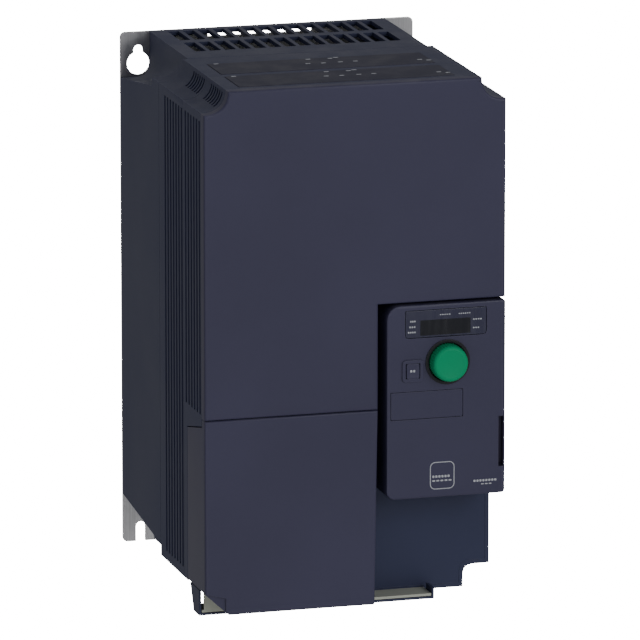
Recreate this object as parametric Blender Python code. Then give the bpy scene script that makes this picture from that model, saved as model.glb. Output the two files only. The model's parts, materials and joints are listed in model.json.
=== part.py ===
"""Variable frequency drive for a wall or a cabinet panel, modelled as the separate pieces it is built from.

Metres, +X to the right as seen from the front, +Y back towards the wall, +Z up. The origin is the middle of
the mounting plate's rear face. Sizes below are widths across X, depths forwards from the wall face, and
heights above the mounting plate's lower edge, and place() turns them into scene coordinates.
"""

import math

import bmesh
import bpy
from mathutils import Vector

# Case
WIDTH = 0.180
HEIGHT = 0.310
DEPTH = 0.190
HALF = WIDTH / 2
CASE_TOP = HEIGHT
WALL = 0.0025
GAP = 0.0003
BITE_WIDTH = 0.0145
BITE_HEIGHT = 0.0130
BITE_SQUARENESS = 2.3
FOOT_BITE_WIDTH = 0.0160
FOOT_BITE_HEIGHT = 0.0133
FOOT_SQUARENESS = 6.0
FOOT_HEIGHT = 0.0010
ARC_STEPS = 6
EDGE_RADIUS = 0.0012

# Mounting plate
PLATE = 0.0020
EAR_INSET = 0.0110
SCREW_SLOT = 0.0058
KEYHOLE_HEAD = 0.0139
KEYHOLE_DROP = 0.0190
KEYHOLE_SLOT = 0.0110
FOOT_SLOT = 0.0120
PLATE_CORNER = 0.0030
PLATE_SLOT_CELLS = (-4, 3)
PLATE_SLOT = (HEIGHT - 0.0052, HEIGHT - 0.0030)

# Rear shroud round the heatsink
SHROUD_SHOULDER = 0.01775
SHROUD_DEPTH = 0.0900
SHROUD_STEP_DEPTH = 0.0740
SHROUD_REAR_FOOT = 0.0300
SHROUD_FRONT_FOOT = 0.0225
SHROUD_STEP_FOOT = 0.0205
SHROUD_REAR_BITE = 0.0270
SHROUD_FRONT_BITE = 0.0180
SHROUD_REAR_SQUARENESS = 6.0
GRILLE_PITCH = 0.0091
GRILLE_MARGIN = 0.0085
GRILLE_CELLS = int((WIDTH - 2 * SHROUD_SHOULDER - 2 * GRILLE_MARGIN) / GRILLE_PITCH)
GRILLE_CELL = 0.0066
GRILLE_ROWS = ((0.0070, 0.0350), (0.0425, 0.0700))

# Housing, front frame and covers
HOUSING_FRONT = 0.1432
FRAME_FRONT = 0.1830
SLOT_WIDTH = 0.0030
SLOT_PITCH = 0.0061
SLOT_TOP = CASE_TOP - 0.0180
SLOTS_REAR = (0.1040, 7, 0.0200)
SLOTS_FRONT = (0.1493, 6, 0.1200)
LOUVRE_WIDTH = 0.0022
LOUVRE_PITCH = 0.0045
LOUVRE_ARC = (10, 52)
LOUVRES_REAR = (0.1150, 6)
LOUVRES_FRONT = (0.1535, 6)
SEAM_HEIGHT = 0.1178
BAY_LEFT = HALF - 0.0764
BAY_TOP = 0.1802
WRAP_DEPTH = 0.1510
WRAP_LOW = 0.1065
WRAP_HIGH = 0.1135
COVER_FOOT = 0.0020
COVER_TAPER = 0.0018
NOTCH_TOP = 0.0153
NOTCH_WIDTH = 0.0124
NOTCH_DROP = 0.0030
NOTCH_FOOT = 0.0145
NOTCH_STEP = 0.0012
STRIP_RIGHT = HALF - 0.0280
STRIP_LEFT = HALF - 0.0240
STRIP_THICKNESS = 0.0005
STRIP_POCKET = 0.0006
STRIPS = {"vent_strip_rear": (0.1093, 0.1408), "vent_strip_front": (0.1475, 0.1790)}

# Control panel
PANEL_LEFT = BAY_LEFT + 0.0048
PANEL_BOTTOM = 0.0640
PANEL_TOP = 0.1788
PANEL_FRONT = 0.1910
PANEL_THICKNESS = 0.0280
PANEL_CLEARANCE = 0.0030
BAY_DEPTH = PANEL_FRONT - PANEL_THICKNESS - PANEL_CLEARANCE
PANEL_WALL = 0.0022
PANEL_GRIP_WALL = 0.0068
PANEL_CORNERS = (0.0050, 0.0020, 0.0013, 0.0080)
PANEL_INNER_CORNERS = (0.0030, 0.0010, 0.0010, 0.0060)
GRIP_WIDTH = 0.0042
GRIP_LIP = 0.0010
GRIP_BOTTOM = 0.0800
GRIP_TOP = 0.1100
GRIP_DEPTH = 0.0060
DIAL_CENTRE = (PANEL_LEFT + 0.0365, 0.1443)
DIAL_RADIUS = 0.0110
DIAL_REACH = 0.0080
DIAL_BASE = 0.0040
DIAL_STROKE = 0.0008
DIAL_CLEARANCE = 0.0005
DIAL_RING_WIDTH = 0.0018
DIAL_ROOM = DIAL_RADIUS + DIAL_CLEARANCE + DIAL_RING_WIDTH
SHAFT_RADIUS = 0.0030
SHAFT_CLEARANCE = 0.0001
WINDOW_LEFT = PANEL_LEFT + 0.0112
WINDOW_WIDTH = 0.0486
WINDOW_ABOVE_DIAL = 0.0019
WINDOW_BELOW_TOP = 0.0033
WINDOW = (
    WINDOW_LEFT,
    WINDOW_LEFT + WINDOW_WIDTH,
    DIAL_CENTRE[1] + DIAL_ROOM + WINDOW_ABOVE_DIAL,
    PANEL_TOP - WINDOW_BELOW_TOP,
)
WINDOW_THICKNESS = 0.0012
WINDOW_CORNERS = (0.0017, 0.0017, 0.0007, 0.0007)
WINDOW_SEAT_CORNERS = tuple(radius + GAP for radius in WINDOW_CORNERS)
DISPLAY_MARGIN = 0.0050
DISPLAY_DEPTH = 0.0070
KEY_SIZE = (0.0078, 0.0089)
KEY_REACH = 0.0012
KEY_STROKE = 0.0006
KEY_CLEARANCE = 0.0004
KEY_FRAME = (0.0127, 0.0130)
KEY_BESIDE_DIAL = 0.00135
KEY_CENTRE = (DIAL_CENTRE[0] - DIAL_ROOM - KEY_BESIDE_DIAL - KEY_FRAME[0] / 2, DIAL_CENTRE[1] - 0.0042)
BEZEL_THICKNESS = 0.0006
BEZEL_CORNER = 0.0012
KEY_CORNER = 0.0010
KEY_EDGE_RADIUS = 0.0004
KEY_STEM = 0.0042
LABEL_LEFT = PANEL_LEFT + 0.0025
LABEL_SIZE = (0.0432, 0.0161)
LABEL_TOP = DIAL_CENTRE[1] - DIAL_ROOM - 0.0034
LABEL = (LABEL_LEFT, LABEL_LEFT + LABEL_SIZE[0], LABEL_TOP - LABEL_SIZE[1], LABEL_TOP)
LABEL_THICKNESS = 0.0008
PLUG_SIZE = (0.0140, 0.0080)
PLUG_CENTRE = (DIAL_CENTRE[0], 0.1120)
KEYPAD_BOARD_BACK = PANEL_FRONT - 0.0160
KEYPAD_BOARD_MARGIN = 0.0010
KEYPAD_BOARD_HEIGHTS = (PLUG_CENTRE[1] - 0.0120, 0.1720)
ENCODER_HALF = 0.0060
ENCODER_DEPTH = 0.0055
ENCODER_FLOOR = 0.0015
SWITCH_HALF = 0.0030
SWITCH_DEPTH = 0.0039
SOCKET_WALL = 0.0018
SOCKET_BEHIND = 0.0080
SOCKET_AHEAD = 0.0015

# Heatsink and fans
SINK_WIDTH = WIDTH - 0.0240
SINK_BASE_BACK = 0.0680
SINK_BASE_FRONT = 0.0780
SINK_FIN_BACK = 0.0060
SINK_BOTTOM = 0.0620
SINK_TOP = CASE_TOP - 0.0290
FIN_COUNT = 17
FIN_THICKNESS = 0.0016
FAN_SIZE = 0.0600
FAN_THICKNESS = 0.0200
FAN_BOTTOM = 0.0345
FAN_BACK = 0.0050
FAN_OFFSET = 0.0350
FAN_HOLE = 0.0285
FAN_HUB = 0.0125
FAN_TIP_GAP = 0.0010
BLADE_COUNT = 7
BLADE_THICKNESS = 0.0014
BLADE_SWEEP = 22.0
STATOR_THICKNESS = 0.0025

# Boards and what stands on them
BOARD = 0.0016
POWER_BOARD_BACK = 0.0960
BOARD_MARGIN = 0.0100
BOARD_BELOW_TOP = 0.0260
BOARD_REACH = HALF - BOARD_MARGIN
POWER_BOARD = (-BOARD_REACH, BOARD_REACH, 0.0320, CASE_TOP - BOARD_BELOW_TOP)
CONTROL_BOARD_BACK = 0.1500
CONTROL_BOARD = (-BOARD_REACH, BOARD_REACH, BAY_TOP + 0.0090, CASE_TOP - BOARD_BELOW_TOP)
PILLAR_RADIUS = 0.0035
PILLAR_INSET = 0.0070
PILLAR_NECK = 0.0018
BOARD_SCREW_RADIUS = 0.0030
BOARD_SCREW_HEAD = 0.0020
CAPACITOR_RADIUS = 0.0150
CAPACITOR_LENGTH = 0.0380
CAPACITOR_PITCH = 0.0350
CAPACITOR_HEIGHT = 0.1550
CHOKE_RADIUS = 0.0170
CHOKE_TUBE = 0.0070
CHOKE_CENTRE = (-0.0450, 0.1050)
RELAY = (0.0300, 0.0200, 0.0180)
RELAY_CENTRE = (0.0350, 0.1050)
MODULE = (-0.0450, 0.0450, 0.1180, 0.1680)
MODULE_EAR = 0.0080
MODULE_SCREW_RADIUS = 0.0030

# Terminal compartment
TERMINALS_RIGHT = BAY_LEFT - 0.0086
POWER_TERMINALS = (-HALF + 0.0120, TERMINALS_RIGHT, 0.0300, 0.0520)
TERMINAL_DEPTH = 0.0240
TERMINAL_COUNT = 7
TERMINAL_SCREW_RADIUS = 0.0035
TERMINAL_WELL_DEPTH = 0.0080
CONTROL_TERMINALS = (-HALF + 0.0300, TERMINALS_RIGHT, 0.0780, 0.0900)
CONTROL_DEPTH = 0.0140
CONTROL_COUNT = 11
NETWORK_SOCKET = (-HALF + 0.0100, -HALF + 0.0260, 0.0770, 0.0910)
EARTH_SCREW = (-HALF + 0.0500, 0.0250)
EARTH_SCREW_RADIUS = 0.0045
TRAY_RIGHT = BAY_LEFT + 0.0383
TRAY_BACK = 0.1560
TRAY_FRONT = 0.1760
TRAY_FOOT = -0.0007
TRAY_WALL = 0.0015
TRAY_SLOPE = 0.0075
TRAY_END_TOP = 0.0060
GLAND_THICKNESS = 0.0015
GLAND_WALL = (TRAY_FRONT - GAP - GLAND_THICKNESS, TRAY_FRONT - GAP)
GLAND_WALL_TOP = 0.0147
CABLE_HOLE_RADIUS = 0.0070
CABLE_HOLES = (-HALF + 0.0300, -HALF + 0.0550, -HALF + 0.0800)

FINISHES = {}


def place(across, depth, height):
    """Scene coordinates of a point given across X, forwards from the wall and up from the plate's foot."""
    return Vector((across, -depth, height - HEIGHT / 2))


# ---------------------------------------------------------------- finishes


def finish(name, colour, roughness, metallic=0.0):
    """The named Principled material, made once."""
    if name not in FINISHES:
        material = bpy.data.materials.new(name)
        material.use_nodes = True
        shader = material.node_tree.nodes["Principled BSDF"]
        shader.inputs["Base Color"].default_value = (*colour, 1.0)
        shader.inputs["Roughness"].default_value = roughness
        shader.inputs["Metallic"].default_value = metallic
        material.diffuse_color = (*colour, 1.0)
        FINISHES[name] = material
    return FINISHES[name]


def cover_plastic():
    return finish("cover_plastic", (0.040, 0.042, 0.066), 0.45)


def case_plastic():
    return finish("case_plastic", (0.030, 0.032, 0.052), 0.55)


def panel_plastic():
    return finish("panel_plastic", (0.040, 0.042, 0.066), 0.45)


def black_plastic():
    return finish("black_plastic", (0.012, 0.013, 0.016), 0.5)


def plated_steel():
    return finish("plated_steel", (0.62, 0.62, 0.64), 0.35, 1.0)


def raw_aluminium():
    return finish("raw_aluminium", (0.70, 0.70, 0.72), 0.4, 1.0)


def board_green():
    return finish("board_green", (0.02, 0.16, 0.07), 0.5)


def dial_green():
    return finish("dial_green", (0.0, 0.24, 0.10), 0.4)


def gland_grey():
    return finish("gland_grey", (0.38, 0.40, 0.33), 0.6)


def smoked_window():
    return finish("smoked_window", (0.02, 0.02, 0.025), 0.1)


def terminal_grey():
    return finish("terminal_grey", (0.16, 0.18, 0.17), 0.55)


def copper_wire():
    return finish("copper_wire", (0.60, 0.26, 0.10), 0.4, 0.8)


# ---------------------------------------------------------------- shapes


def new_object(name, mesh, material=None):
    thing = bpy.data.objects.new(name, mesh)
    bpy.context.scene.collection.objects.link(thing)
    if material is not None:
        mesh.materials.append(material)
    return thing


def mesh_from(name, build):
    """A mesh filled by build(bm), with its faces turned outwards."""
    bm = bmesh.new()
    build(bm)
    bmesh.ops.recalc_face_normals(bm, faces=bm.faces)
    mesh = bpy.data.meshes.new(name)
    bm.to_mesh(mesh)
    bm.free()
    return mesh


def add_loft(bm, sections):
    """Closed rings of points in scene coordinates, joined one to the next and capped at both ends."""
    rings = [[bm.verts.new(point) for point in ring] for ring in sections]
    count = len(rings[0])
    for ring, following in zip(rings, rings[1:]):
        for i in range(count):
            j = (i + 1) % count
            bm.faces.new((ring[i], ring[j], following[j], following[i]))
    bm.faces.new(rings[0])
    bm.faces.new(rings[-1])


def along_depth(outline, depth):
    return [place(across, depth, height) for across, height in outline]


def add_front_prism(bm, outline, back, front):
    """An outline of (across, height) points carried from one depth to another."""
    add_loft(bm, [along_depth(outline, back), along_depth(outline, front)])


def add_side_prism(bm, outline, left, right):
    """An outline of (depth, height) points carried across from left to right."""
    add_loft(bm, [[place(x, depth, height) for depth, height in outline] for x in (left, right)])


def add_upright_prism(bm, outline, bottom, top):
    """An outline of (across, depth) points carried from one height to another."""
    add_loft(bm, [[place(across, depth, z) for across, depth in outline] for z in (bottom, top)])


def rectangle(left, right, bottom, top):
    return [(left, bottom), (right, bottom), (right, top), (left, top)]


def add_box(bm, left, right, back, front, bottom, top):
    add_front_prism(bm, rectangle(left, right, bottom, top), back, front)


def circle(centre, radius, steps):
    turns = [2 * math.pi * i / steps for i in range(steps)]
    return [(centre[0] + radius * math.cos(t), centre[1] + radius * math.sin(t)) for t in turns]


def arc(centre, radii, start, end, steps):
    """Points on an ellipse from one angle to another, both in degrees."""
    turns = [math.radians(start + (end - start) * i / steps) for i in range(steps + 1)]
    return [(centre[0] + radii[0] * math.cos(t), centre[1] + radii[1] * math.sin(t)) for t in turns]


def rounded_rectangle(left, right, bottom, top, radii, steps=4):
    """Radii run anticlockwise from the lower left corner."""
    low_left, low_right, high_right, high_left = radii
    points = arc((left + low_left, bottom + low_left), (low_left,) * 2, 180, 270, steps)
    points += arc((right - low_right, bottom + low_right), (low_right,) * 2, 270, 360, steps)
    points += arc((right - high_right, top - high_right), (high_right,) * 2, 0, 90, steps)
    points += arc((left + high_left, top - high_left), (high_left,) * 2, 90, 180, steps)
    return points


def scoop(sign, bite, inset, corner_height, upwards, squareness=BITE_SQUARENESS):
    """The concave corner of the case, a curve about the outer corner, running anticlockwise.

    sign is +1 on the right, upwards +1 at the top. The curve is a superellipse: squareness 2 is an ellipse
    and larger values come nearer to a rectangle. It grows by inset, and it ends where it meets the straight
    sides, which lie inset inside the outer ones.
    """
    width, height = bite[0] + inset, bite[1] + inset
    power = 2 / squareness
    start = math.asin((inset / height) ** (1 / power))
    end = math.acos((inset / width) ** (1 / power))
    turns = [start + (end - start) * i / ARC_STEPS for i in range(ARC_STEPS + 1)]
    quarter = [(width * math.cos(t) ** power, height * math.sin(t) ** power) for t in turns]
    points = [(sign * (HALF - x), corner_height - upwards * y) for x, y in quarter]
    return points if sign * upwards < 0 else points[::-1]


def case_outline(inset, foot, foot_bite, top_bite):
    """The case seen from the front, anticlockwise from its lower left corner, drawn in by inset."""
    points = scoop(-1, foot_bite, inset, foot, -1, FOOT_SQUARENESS)
    points += scoop(1, foot_bite, inset, foot, -1, FOOT_SQUARENESS)
    points += scoop(1, top_bite, inset, CASE_TOP, 1)
    points += scoop(-1, top_bite, inset, CASE_TOP, 1)
    return points


def front_case_outline(inset=0.0):
    foot_bite = (FOOT_BITE_WIDTH, FOOT_BITE_HEIGHT)
    return case_outline(inset, FOOT_HEIGHT, foot_bite, (BITE_WIDTH, BITE_HEIGHT))


def shroud_outline(inset, foot, bite_height, squareness):
    """The shroud seen from the front: square feet, and shoulders cut back for the mounting screws."""
    low = foot + inset
    shoulder = (SHROUD_SHOULDER, bite_height)
    points = [(-HALF + inset, low), (HALF - inset, low)]
    points += scoop(1, shoulder, inset, CASE_TOP, 1, squareness)
    points += scoop(-1, shoulder, inset, CASE_TOP, 1, squareness)
    return points


def helper(name, build):
    """A hidden solid for a Boolean."""
    thing = new_object(name, mesh_from(name, build))
    thing.hide_render = True
    thing.display_type = "WIRE"
    return thing


def boolean(target, operation, build):
    label = f"{target.name}_{operation.lower()}_{len(target.modifiers)}"
    modifier = target.modifiers.new(label, "BOOLEAN")
    modifier.operation = operation
    modifier.object = helper(label, build)
    modifier.solver = "EXACT"
    modifier.object.hide_set(True)


def carve(target, build):
    boolean(target, "DIFFERENCE", build)


def join(target, build):
    boolean(target, "UNION", build)


def round_front_edges(bm, depth, radius):
    """Rounds every edge that lies in the plane at that depth."""
    plane = place(0.0, depth, 0.0).y
    edges = [e for e in bm.edges if all(abs(v.co.y - plane) < 1e-6 for v in e.verts)]
    bmesh.ops.bevel(bm, geom=edges, offset=radius, segments=2, profile=0.5, affect="EDGES")


def add_turned(bm, profile, centre, steps):
    """A profile of (depth, radius) points turned about a line that runs forwards through centre."""
    rings = [along_depth(circle(centre, radius, steps), depth) for depth, radius in profile]
    add_loft(bm, rings)


def smooth(thing, degrees=35):
    thing.data.shade_smooth()
    thing.data.set_sharp_from_angle(angle=math.radians(degrees))
    return thing


def pan_head_screw(name, centre, radius, back, height, material):
    """A screw head with a cross recess, standing on the plane at depth back."""
    profile = [(back, radius), (back + 0.5 * height, radius), (back + height, 0.6 * radius)]
    thing = new_object(name, mesh_from(name, lambda bm: add_turned(bm, profile, centre, 14)), material)
    x, z = centre
    slot, long = 0.18 * radius, 0.62 * radius
    floor, above = back + 0.45 * height, back + 2 * height
    plus = [(-long, -slot), (-slot, -slot), (-slot, -long), (slot, -long), (slot, -slot), (long, -slot)]
    plus += [(-a, -b) for a, b in plus]
    outline = [(x + a, z + b) for a, b in plus]
    carve(thing, lambda bm: add_front_prism(bm, outline, floor, above))
    return smooth(thing)


def pivot(name, across, depth, height, parent=None):
    """An empty on a joint's axis."""
    empty = bpy.data.objects.new(name, None)
    bpy.context.scene.collection.objects.link(empty)
    empty.empty_display_size = 0.01
    empty.location = place(across, depth, height)
    if parent is not None:
        hang(empty, parent)
    return empty


def origin_of(thing):
    point = thing.location.copy()
    return point + origin_of(thing.parent) if thing.parent else point


def hang(thing, parent):
    """Parents thing to an empty without moving it."""
    thing.location = thing.location - origin_of(parent)
    thing.parent = parent


# ---------------------------------------------------------------- mounting plate and shroud


def mounting_plate():
    outline = rounded_rectangle(-HALF, HALF, 0.0, HEIGHT, (PLATE_CORNER,) * 4)
    mesh = mesh_from("plate", lambda bm: add_front_prism(bm, outline, 0, PLATE))
    plate = new_object("mounting_plate", mesh, plated_steel())
    through = (-PLATE, 2 * PLATE)
    half_slot = SCREW_SLOT / 2
    head_height = HEIGHT - KEYHOLE_DROP

    def cut_holes(bm):
        for sign in (-1, 1):
            x = sign * (HALF - EAR_INSET)
            head = arc((x, head_height), (KEYHOLE_HEAD / 2,) * 2, 115, 425, 14)
            neck = arc((x, head_height + KEYHOLE_SLOT - half_slot), (half_slot,) * 2, 0, 180, 6)
            add_front_prism(bm, head + neck, *through)
            foot = [(x - half_slot, -PLATE), (x + half_slot, -PLATE)]
            foot += arc((x, FOOT_SLOT - half_slot), (half_slot,) * 2, 0, 180, 6)
            add_front_prism(bm, foot, *through)
        left, right = (GRILLE_PITCH * n for n in PLATE_SLOT_CELLS)
        add_box(bm, left, right, *through, *PLATE_SLOT)

    carve(plate, cut_holes)
    return plate


def shroud_sections(inset):
    """Rings of the shroud from the wall forwards: it deepens, then steps down to meet the housing."""
    rings = (
        (PLATE + GAP, SHROUD_REAR_FOOT, SHROUD_REAR_BITE, SHROUD_REAR_SQUARENESS),
        (SHROUD_STEP_DEPTH, SHROUD_FRONT_FOOT, SHROUD_FRONT_BITE, BITE_SQUARENESS),
        (SHROUD_STEP_DEPTH + 0.0015, SHROUD_STEP_FOOT, BITE_HEIGHT, BITE_SQUARENESS),
        (SHROUD_DEPTH, SHROUD_STEP_FOOT, BITE_HEIGHT, BITE_SQUARENESS),
    )
    return [along_depth(shroud_outline(inset, *ring), depth) for depth, *ring in rings]


def rear_shroud():
    shroud = new_object("rear_shroud", mesh_from("shroud", lambda bm: add_loft(bm, shroud_sections(0.0))))
    shroud.data.materials.append(case_plastic())

    def hollow(bm):
        rings = shroud_sections(WALL)
        rings[0] = [point + Vector((0, 0.01, 0)) for point in rings[0]]
        rings[-1] = [point - Vector((0, 0.01, 0)) for point in rings[-1]]
        add_loft(bm, rings)

    def cut_grille(bm):
        first = -GRILLE_PITCH * (GRILLE_CELLS - 1) / 2
        for row in GRILLE_ROWS:
            for i in range(GRILLE_CELLS):
                x = first + i * GRILLE_PITCH
                left, right = x - GRILLE_CELL / 2, x + GRILLE_CELL / 2
                add_box(bm, left, right, *row, CASE_TOP - 3 * WALL, CASE_TOP + WALL)

    def cut_intakes(bm):
        for sign in (-1, 1):
            centre = (sign * FAN_OFFSET, FAN_BACK + FAN_SIZE / 2)
            add_upright_prism(bm, circle(centre, FAN_HOLE - GAP, 28), 0.0, FAN_BOTTOM - GAP)

    def add_guards(bm):
        for sign in (-1, 1):
            for i in range(-2, 3):
                x = sign * FAN_OFFSET + i * 0.0095
                back, front = FAN_BACK + 0.0015, FAN_BACK + FAN_SIZE - 0.0015
                top = [(back, SHROUD_REAR_FOOT + 0.0010), (front, SHROUD_FRONT_FOOT + 0.0017)]
                guard = top + [(front, SHROUD_FRONT_FOOT + 0.0032), (back, SHROUD_REAR_FOOT + 0.0025)]
                add_side_prism(bm, guard, x - 0.0009, x + 0.0009)

    carve(shroud, hollow)
    carve(shroud, cut_grille)
    carve(shroud, cut_intakes)
    join(shroud, add_guards)
    return shroud


# ---------------------------------------------------------------- housing and frame


def add_louvres(bm, group):
    """Thin curved slots through both scooped top corners."""
    first, count = group
    outer = (BITE_WIDTH - WALL, BITE_HEIGHT - WALL)
    inner = (BITE_WIDTH + 2 * WALL, BITE_HEIGHT + 2 * WALL)
    for sign in (-1, 1):
        for i in range(count):
            back = first + i * LOUVRE_PITCH
            near = arc((0, 0), outer, *LOUVRE_ARC, 5)
            far = arc((0, 0), inner, *LOUVRE_ARC, 5)
            outline = [(sign * (HALF - x), CASE_TOP - z) for x, z in near + far[::-1]]
            add_front_prism(bm, outline, back, back + LOUVRE_WIDTH)


def add_side_slots(bm, group, sign, bottom):
    first, count, _ = group
    for i in range(count):
        middle = first + i * SLOT_PITCH
        outer, inner = sign * (HALF + WALL), sign * (HALF - 2 * WALL)
        left, right = min(outer, inner), max(outer, inner)
        add_box(bm, left, right, middle - SLOT_WIDTH / 2, middle + SLOT_WIDTH / 2, bottom, SLOT_TOP)


def strip_outline(strip, margin):
    back, front = strip
    return (-STRIP_LEFT - margin, STRIP_RIGHT + margin, back - margin, front + margin)


def cut_strip_pocket(bm, strip):
    add_box(bm, *strip_outline(strip, GAP), CASE_TOP - STRIP_POCKET, CASE_TOP + WALL)


def case_section(name, back, front):
    """A length of the case, a tube of one wall thickness, open at both ends."""
    outline = front_case_outline()
    inner = front_case_outline(WALL)
    section = new_object(name, mesh_from(name, lambda bm: add_front_prism(bm, outline, back, front)))
    section.data.materials.append(case_plastic())
    carve(section, lambda bm: add_front_prism(bm, inner, back - WALL, front + WALL))
    return section


def main_housing():
    housing = case_section("main_housing", SHROUD_DEPTH + GAP, HOUSING_FRONT)

    def cut_vents(bm):
        for sign in (-1, 1):
            add_side_slots(bm, SLOTS_REAR, sign, SLOTS_REAR[2])
        add_louvres(bm, LOUVRES_REAR)
        cut_strip_pocket(bm, STRIPS["vent_strip_rear"])

    carve(housing, cut_vents)
    return housing


def wrap_height(depth):
    """The sloping line on the left side above which the front frame shows and below which the cover wraps."""
    slope = (WRAP_HIGH - WRAP_LOW) / (FRAME_FRONT - WRAP_DEPTH)
    return WRAP_LOW + slope * (depth - WRAP_DEPTH)


def front_frame():
    back = HOUSING_FRONT + GAP
    frame = case_section("front_frame", back, FRAME_FRONT)
    over = 0.01
    divider = BAY_LEFT - WALL

    def cut_vents(bm):
        add_side_slots(bm, SLOTS_FRONT, -1, SLOTS_FRONT[2])
        add_side_slots(bm, SLOTS_FRONT, 1, BAY_TOP + 2 * WALL)
        add_louvres(bm, LOUVRES_FRONT)
        cut_strip_pocket(bm, STRIPS["vent_strip_front"])

    def cut_panel_bay(bm):
        add_box(bm, BAY_LEFT, HALF + over, BAY_DEPTH, FRAME_FRONT + over, -over, BAY_TOP)

    def cut_cover_wrap(bm):
        end = FRAME_FRONT + over
        side = [(WRAP_DEPTH, -over), (end, -over), (end, wrap_height(end)), (WRAP_DEPTH, WRAP_LOW)]
        add_side_prism(bm, side, -HALF - over, divider)

    reach = HALF - WALL / 2
    foot = gland_top() + 2 * GAP
    partitions = (
        (-reach, BAY_LEFT - WALL / 2, back + WALL / 4, back + WALL, FOOT_BITE_HEIGHT + WALL, SEAM_HEIGHT),
        (divider, BAY_LEFT, back + WALL / 2, FRAME_FRONT, foot, BAY_TOP + WALL / 2),
        (divider + WALL / 4, HALF, BAY_DEPTH - WALL / 2, FRAME_FRONT, BAY_TOP, BAY_TOP + WALL),
        (HALF - WALL, HALF, BAY_DEPTH - WALL / 2, FRAME_FRONT, PANEL_TOP + 2 * GAP, BAY_TOP + WALL / 2),
    )

    def cut_under_divider(bm):
        add_box(bm, divider - WALL, BAY_LEFT + WALL, BAY_DEPTH, FRAME_FRONT + over, -over, foot)

    def add_bay_wall(bm):
        left, top = BAY_LEFT - WALL / 2, BAY_TOP + WALL / 2
        bite = (FOOT_BITE_WIDTH, FOOT_BITE_HEIGHT)
        low_corner = scoop(1, bite, WALL / 2, FOOT_HEIGHT, -1, FOOT_SQUARENESS)
        outline = [(left, top), (left, FOOT_HEIGHT + WALL / 2), *low_corner, (reach, top)]
        add_front_prism(bm, outline, BAY_DEPTH - WALL, BAY_DEPTH - GAP)

    def cut_plug_window(bm):
        half_width = PLUG_SIZE[0] / 2 + SOCKET_WALL + GAP
        half_height = PLUG_SIZE[1] / 2 + SOCKET_WALL + GAP
        x, z = PLUG_CENTRE
        reach = (BAY_DEPTH - 3 * WALL, BAY_DEPTH + WALL)
        add_box(bm, x - half_width, x + half_width, *reach, z - half_height, z + half_height)

    carve(frame, cut_vents)
    carve(frame, cut_panel_bay)
    carve(frame, cut_cover_wrap)
    carve(frame, cut_under_divider)
    for edges in partitions:
        join(frame, lambda bm: add_box(bm, *edges))
    join(frame, add_bay_wall)
    carve(frame, cut_plug_window)
    return frame


def vent_strip(name):
    floor = CASE_TOP - STRIP_POCKET + GAP

    def build(bm):
        add_box(bm, *strip_outline(STRIPS[name], 0.0), floor, floor + STRIP_THICKNESS)

    return new_object(name, mesh_from(name, build), black_plastic())


# ---------------------------------------------------------------- covers


def upper_cover_outline(inset):
    """The upper cover seen from the front: full width above the panel, and a tongue beside the panel."""
    low = SEAM_HEIGHT + GAP + inset
    step = BAY_TOP + inset
    inner_edge = BAY_LEFT - inset
    points = [(-HALF + inset, low), (inner_edge, low), (inner_edge, step), (HALF - inset, step)]
    points += scoop(1, (BITE_WIDTH, BITE_HEIGHT), inset, CASE_TOP, 1)
    points += scoop(-1, (BITE_WIDTH, BITE_HEIGHT), inset, CASE_TOP, 1)
    return points


def upper_front_cover():
    back = FRAME_FRONT + GAP

    def build(bm):
        add_front_prism(bm, upper_cover_outline(0.0), back, DEPTH)
        round_front_edges(bm, DEPTH, EDGE_RADIUS)

    cover = smooth(new_object("upper_front_cover", mesh_from("upper_cover", build), cover_plastic()))
    carve(cover, lambda bm: add_front_prism(bm, upper_cover_outline(WALL), back - WALL, DEPTH - WALL))
    return cover


def lower_front_cover():
    """The pull-off cover: a front plate whose left side wraps round the case, its low left corner cut off."""
    right = BAY_LEFT
    outline = [(-HALF + NOTCH_FOOT, COVER_FOOT), (right - COVER_TAPER, COVER_FOOT)]
    outline += [(right, SEAM_HEIGHT), (-HALF, SEAM_HEIGHT), (-HALF, NOTCH_TOP)]
    step = [(-HALF - WALL, -WALL), (-HALF + NOTCH_WIDTH, -WALL)]
    step += [(-HALF + NOTCH_WIDTH, NOTCH_TOP - NOTCH_DROP), (-HALF, NOTCH_TOP), (-HALF - WALL, NOTCH_TOP)]
    clear = 2 * GAP

    def build(bm):
        add_front_prism(bm, outline, WRAP_DEPTH + clear, DEPTH)
        round_front_edges(bm, DEPTH, EDGE_RADIUS)

    def hollow(bm):
        inner = (-HALF + WALL, right + WALL, WRAP_DEPTH - WALL, DEPTH - WALL)
        add_box(bm, *inner, -WALL, SEAM_HEIGHT + WALL)

    def cut_side_foot(bm):
        reach = (WRAP_DEPTH - WALL, DEPTH - WALL)
        add_box(bm, -HALF - WALL, -HALF + 2 * WALL, *reach, -WALL, NOTCH_TOP)

    def cut_shoulder(bm):
        start, end = WRAP_DEPTH - WALL, FRAME_FRONT + clear
        low = [(start, wrap_height(start) - clear), (end, wrap_height(end) - clear)]
        side = low + [(end, SEAM_HEIGHT + WALL), (start, SEAM_HEIGHT + WALL)]
        add_side_prism(bm, side, -HALF - WALL, right + WALL)

    cover = smooth(new_object("lower_front_cover", mesh_from("lower_cover", build), cover_plastic()))
    carve(cover, hollow)
    carve(cover, cut_side_foot)
    carve(cover, cut_shoulder)
    carve(cover, lambda bm: add_front_prism(bm, step, DEPTH - NOTCH_STEP, DEPTH + WALL))
    return cover


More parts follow.
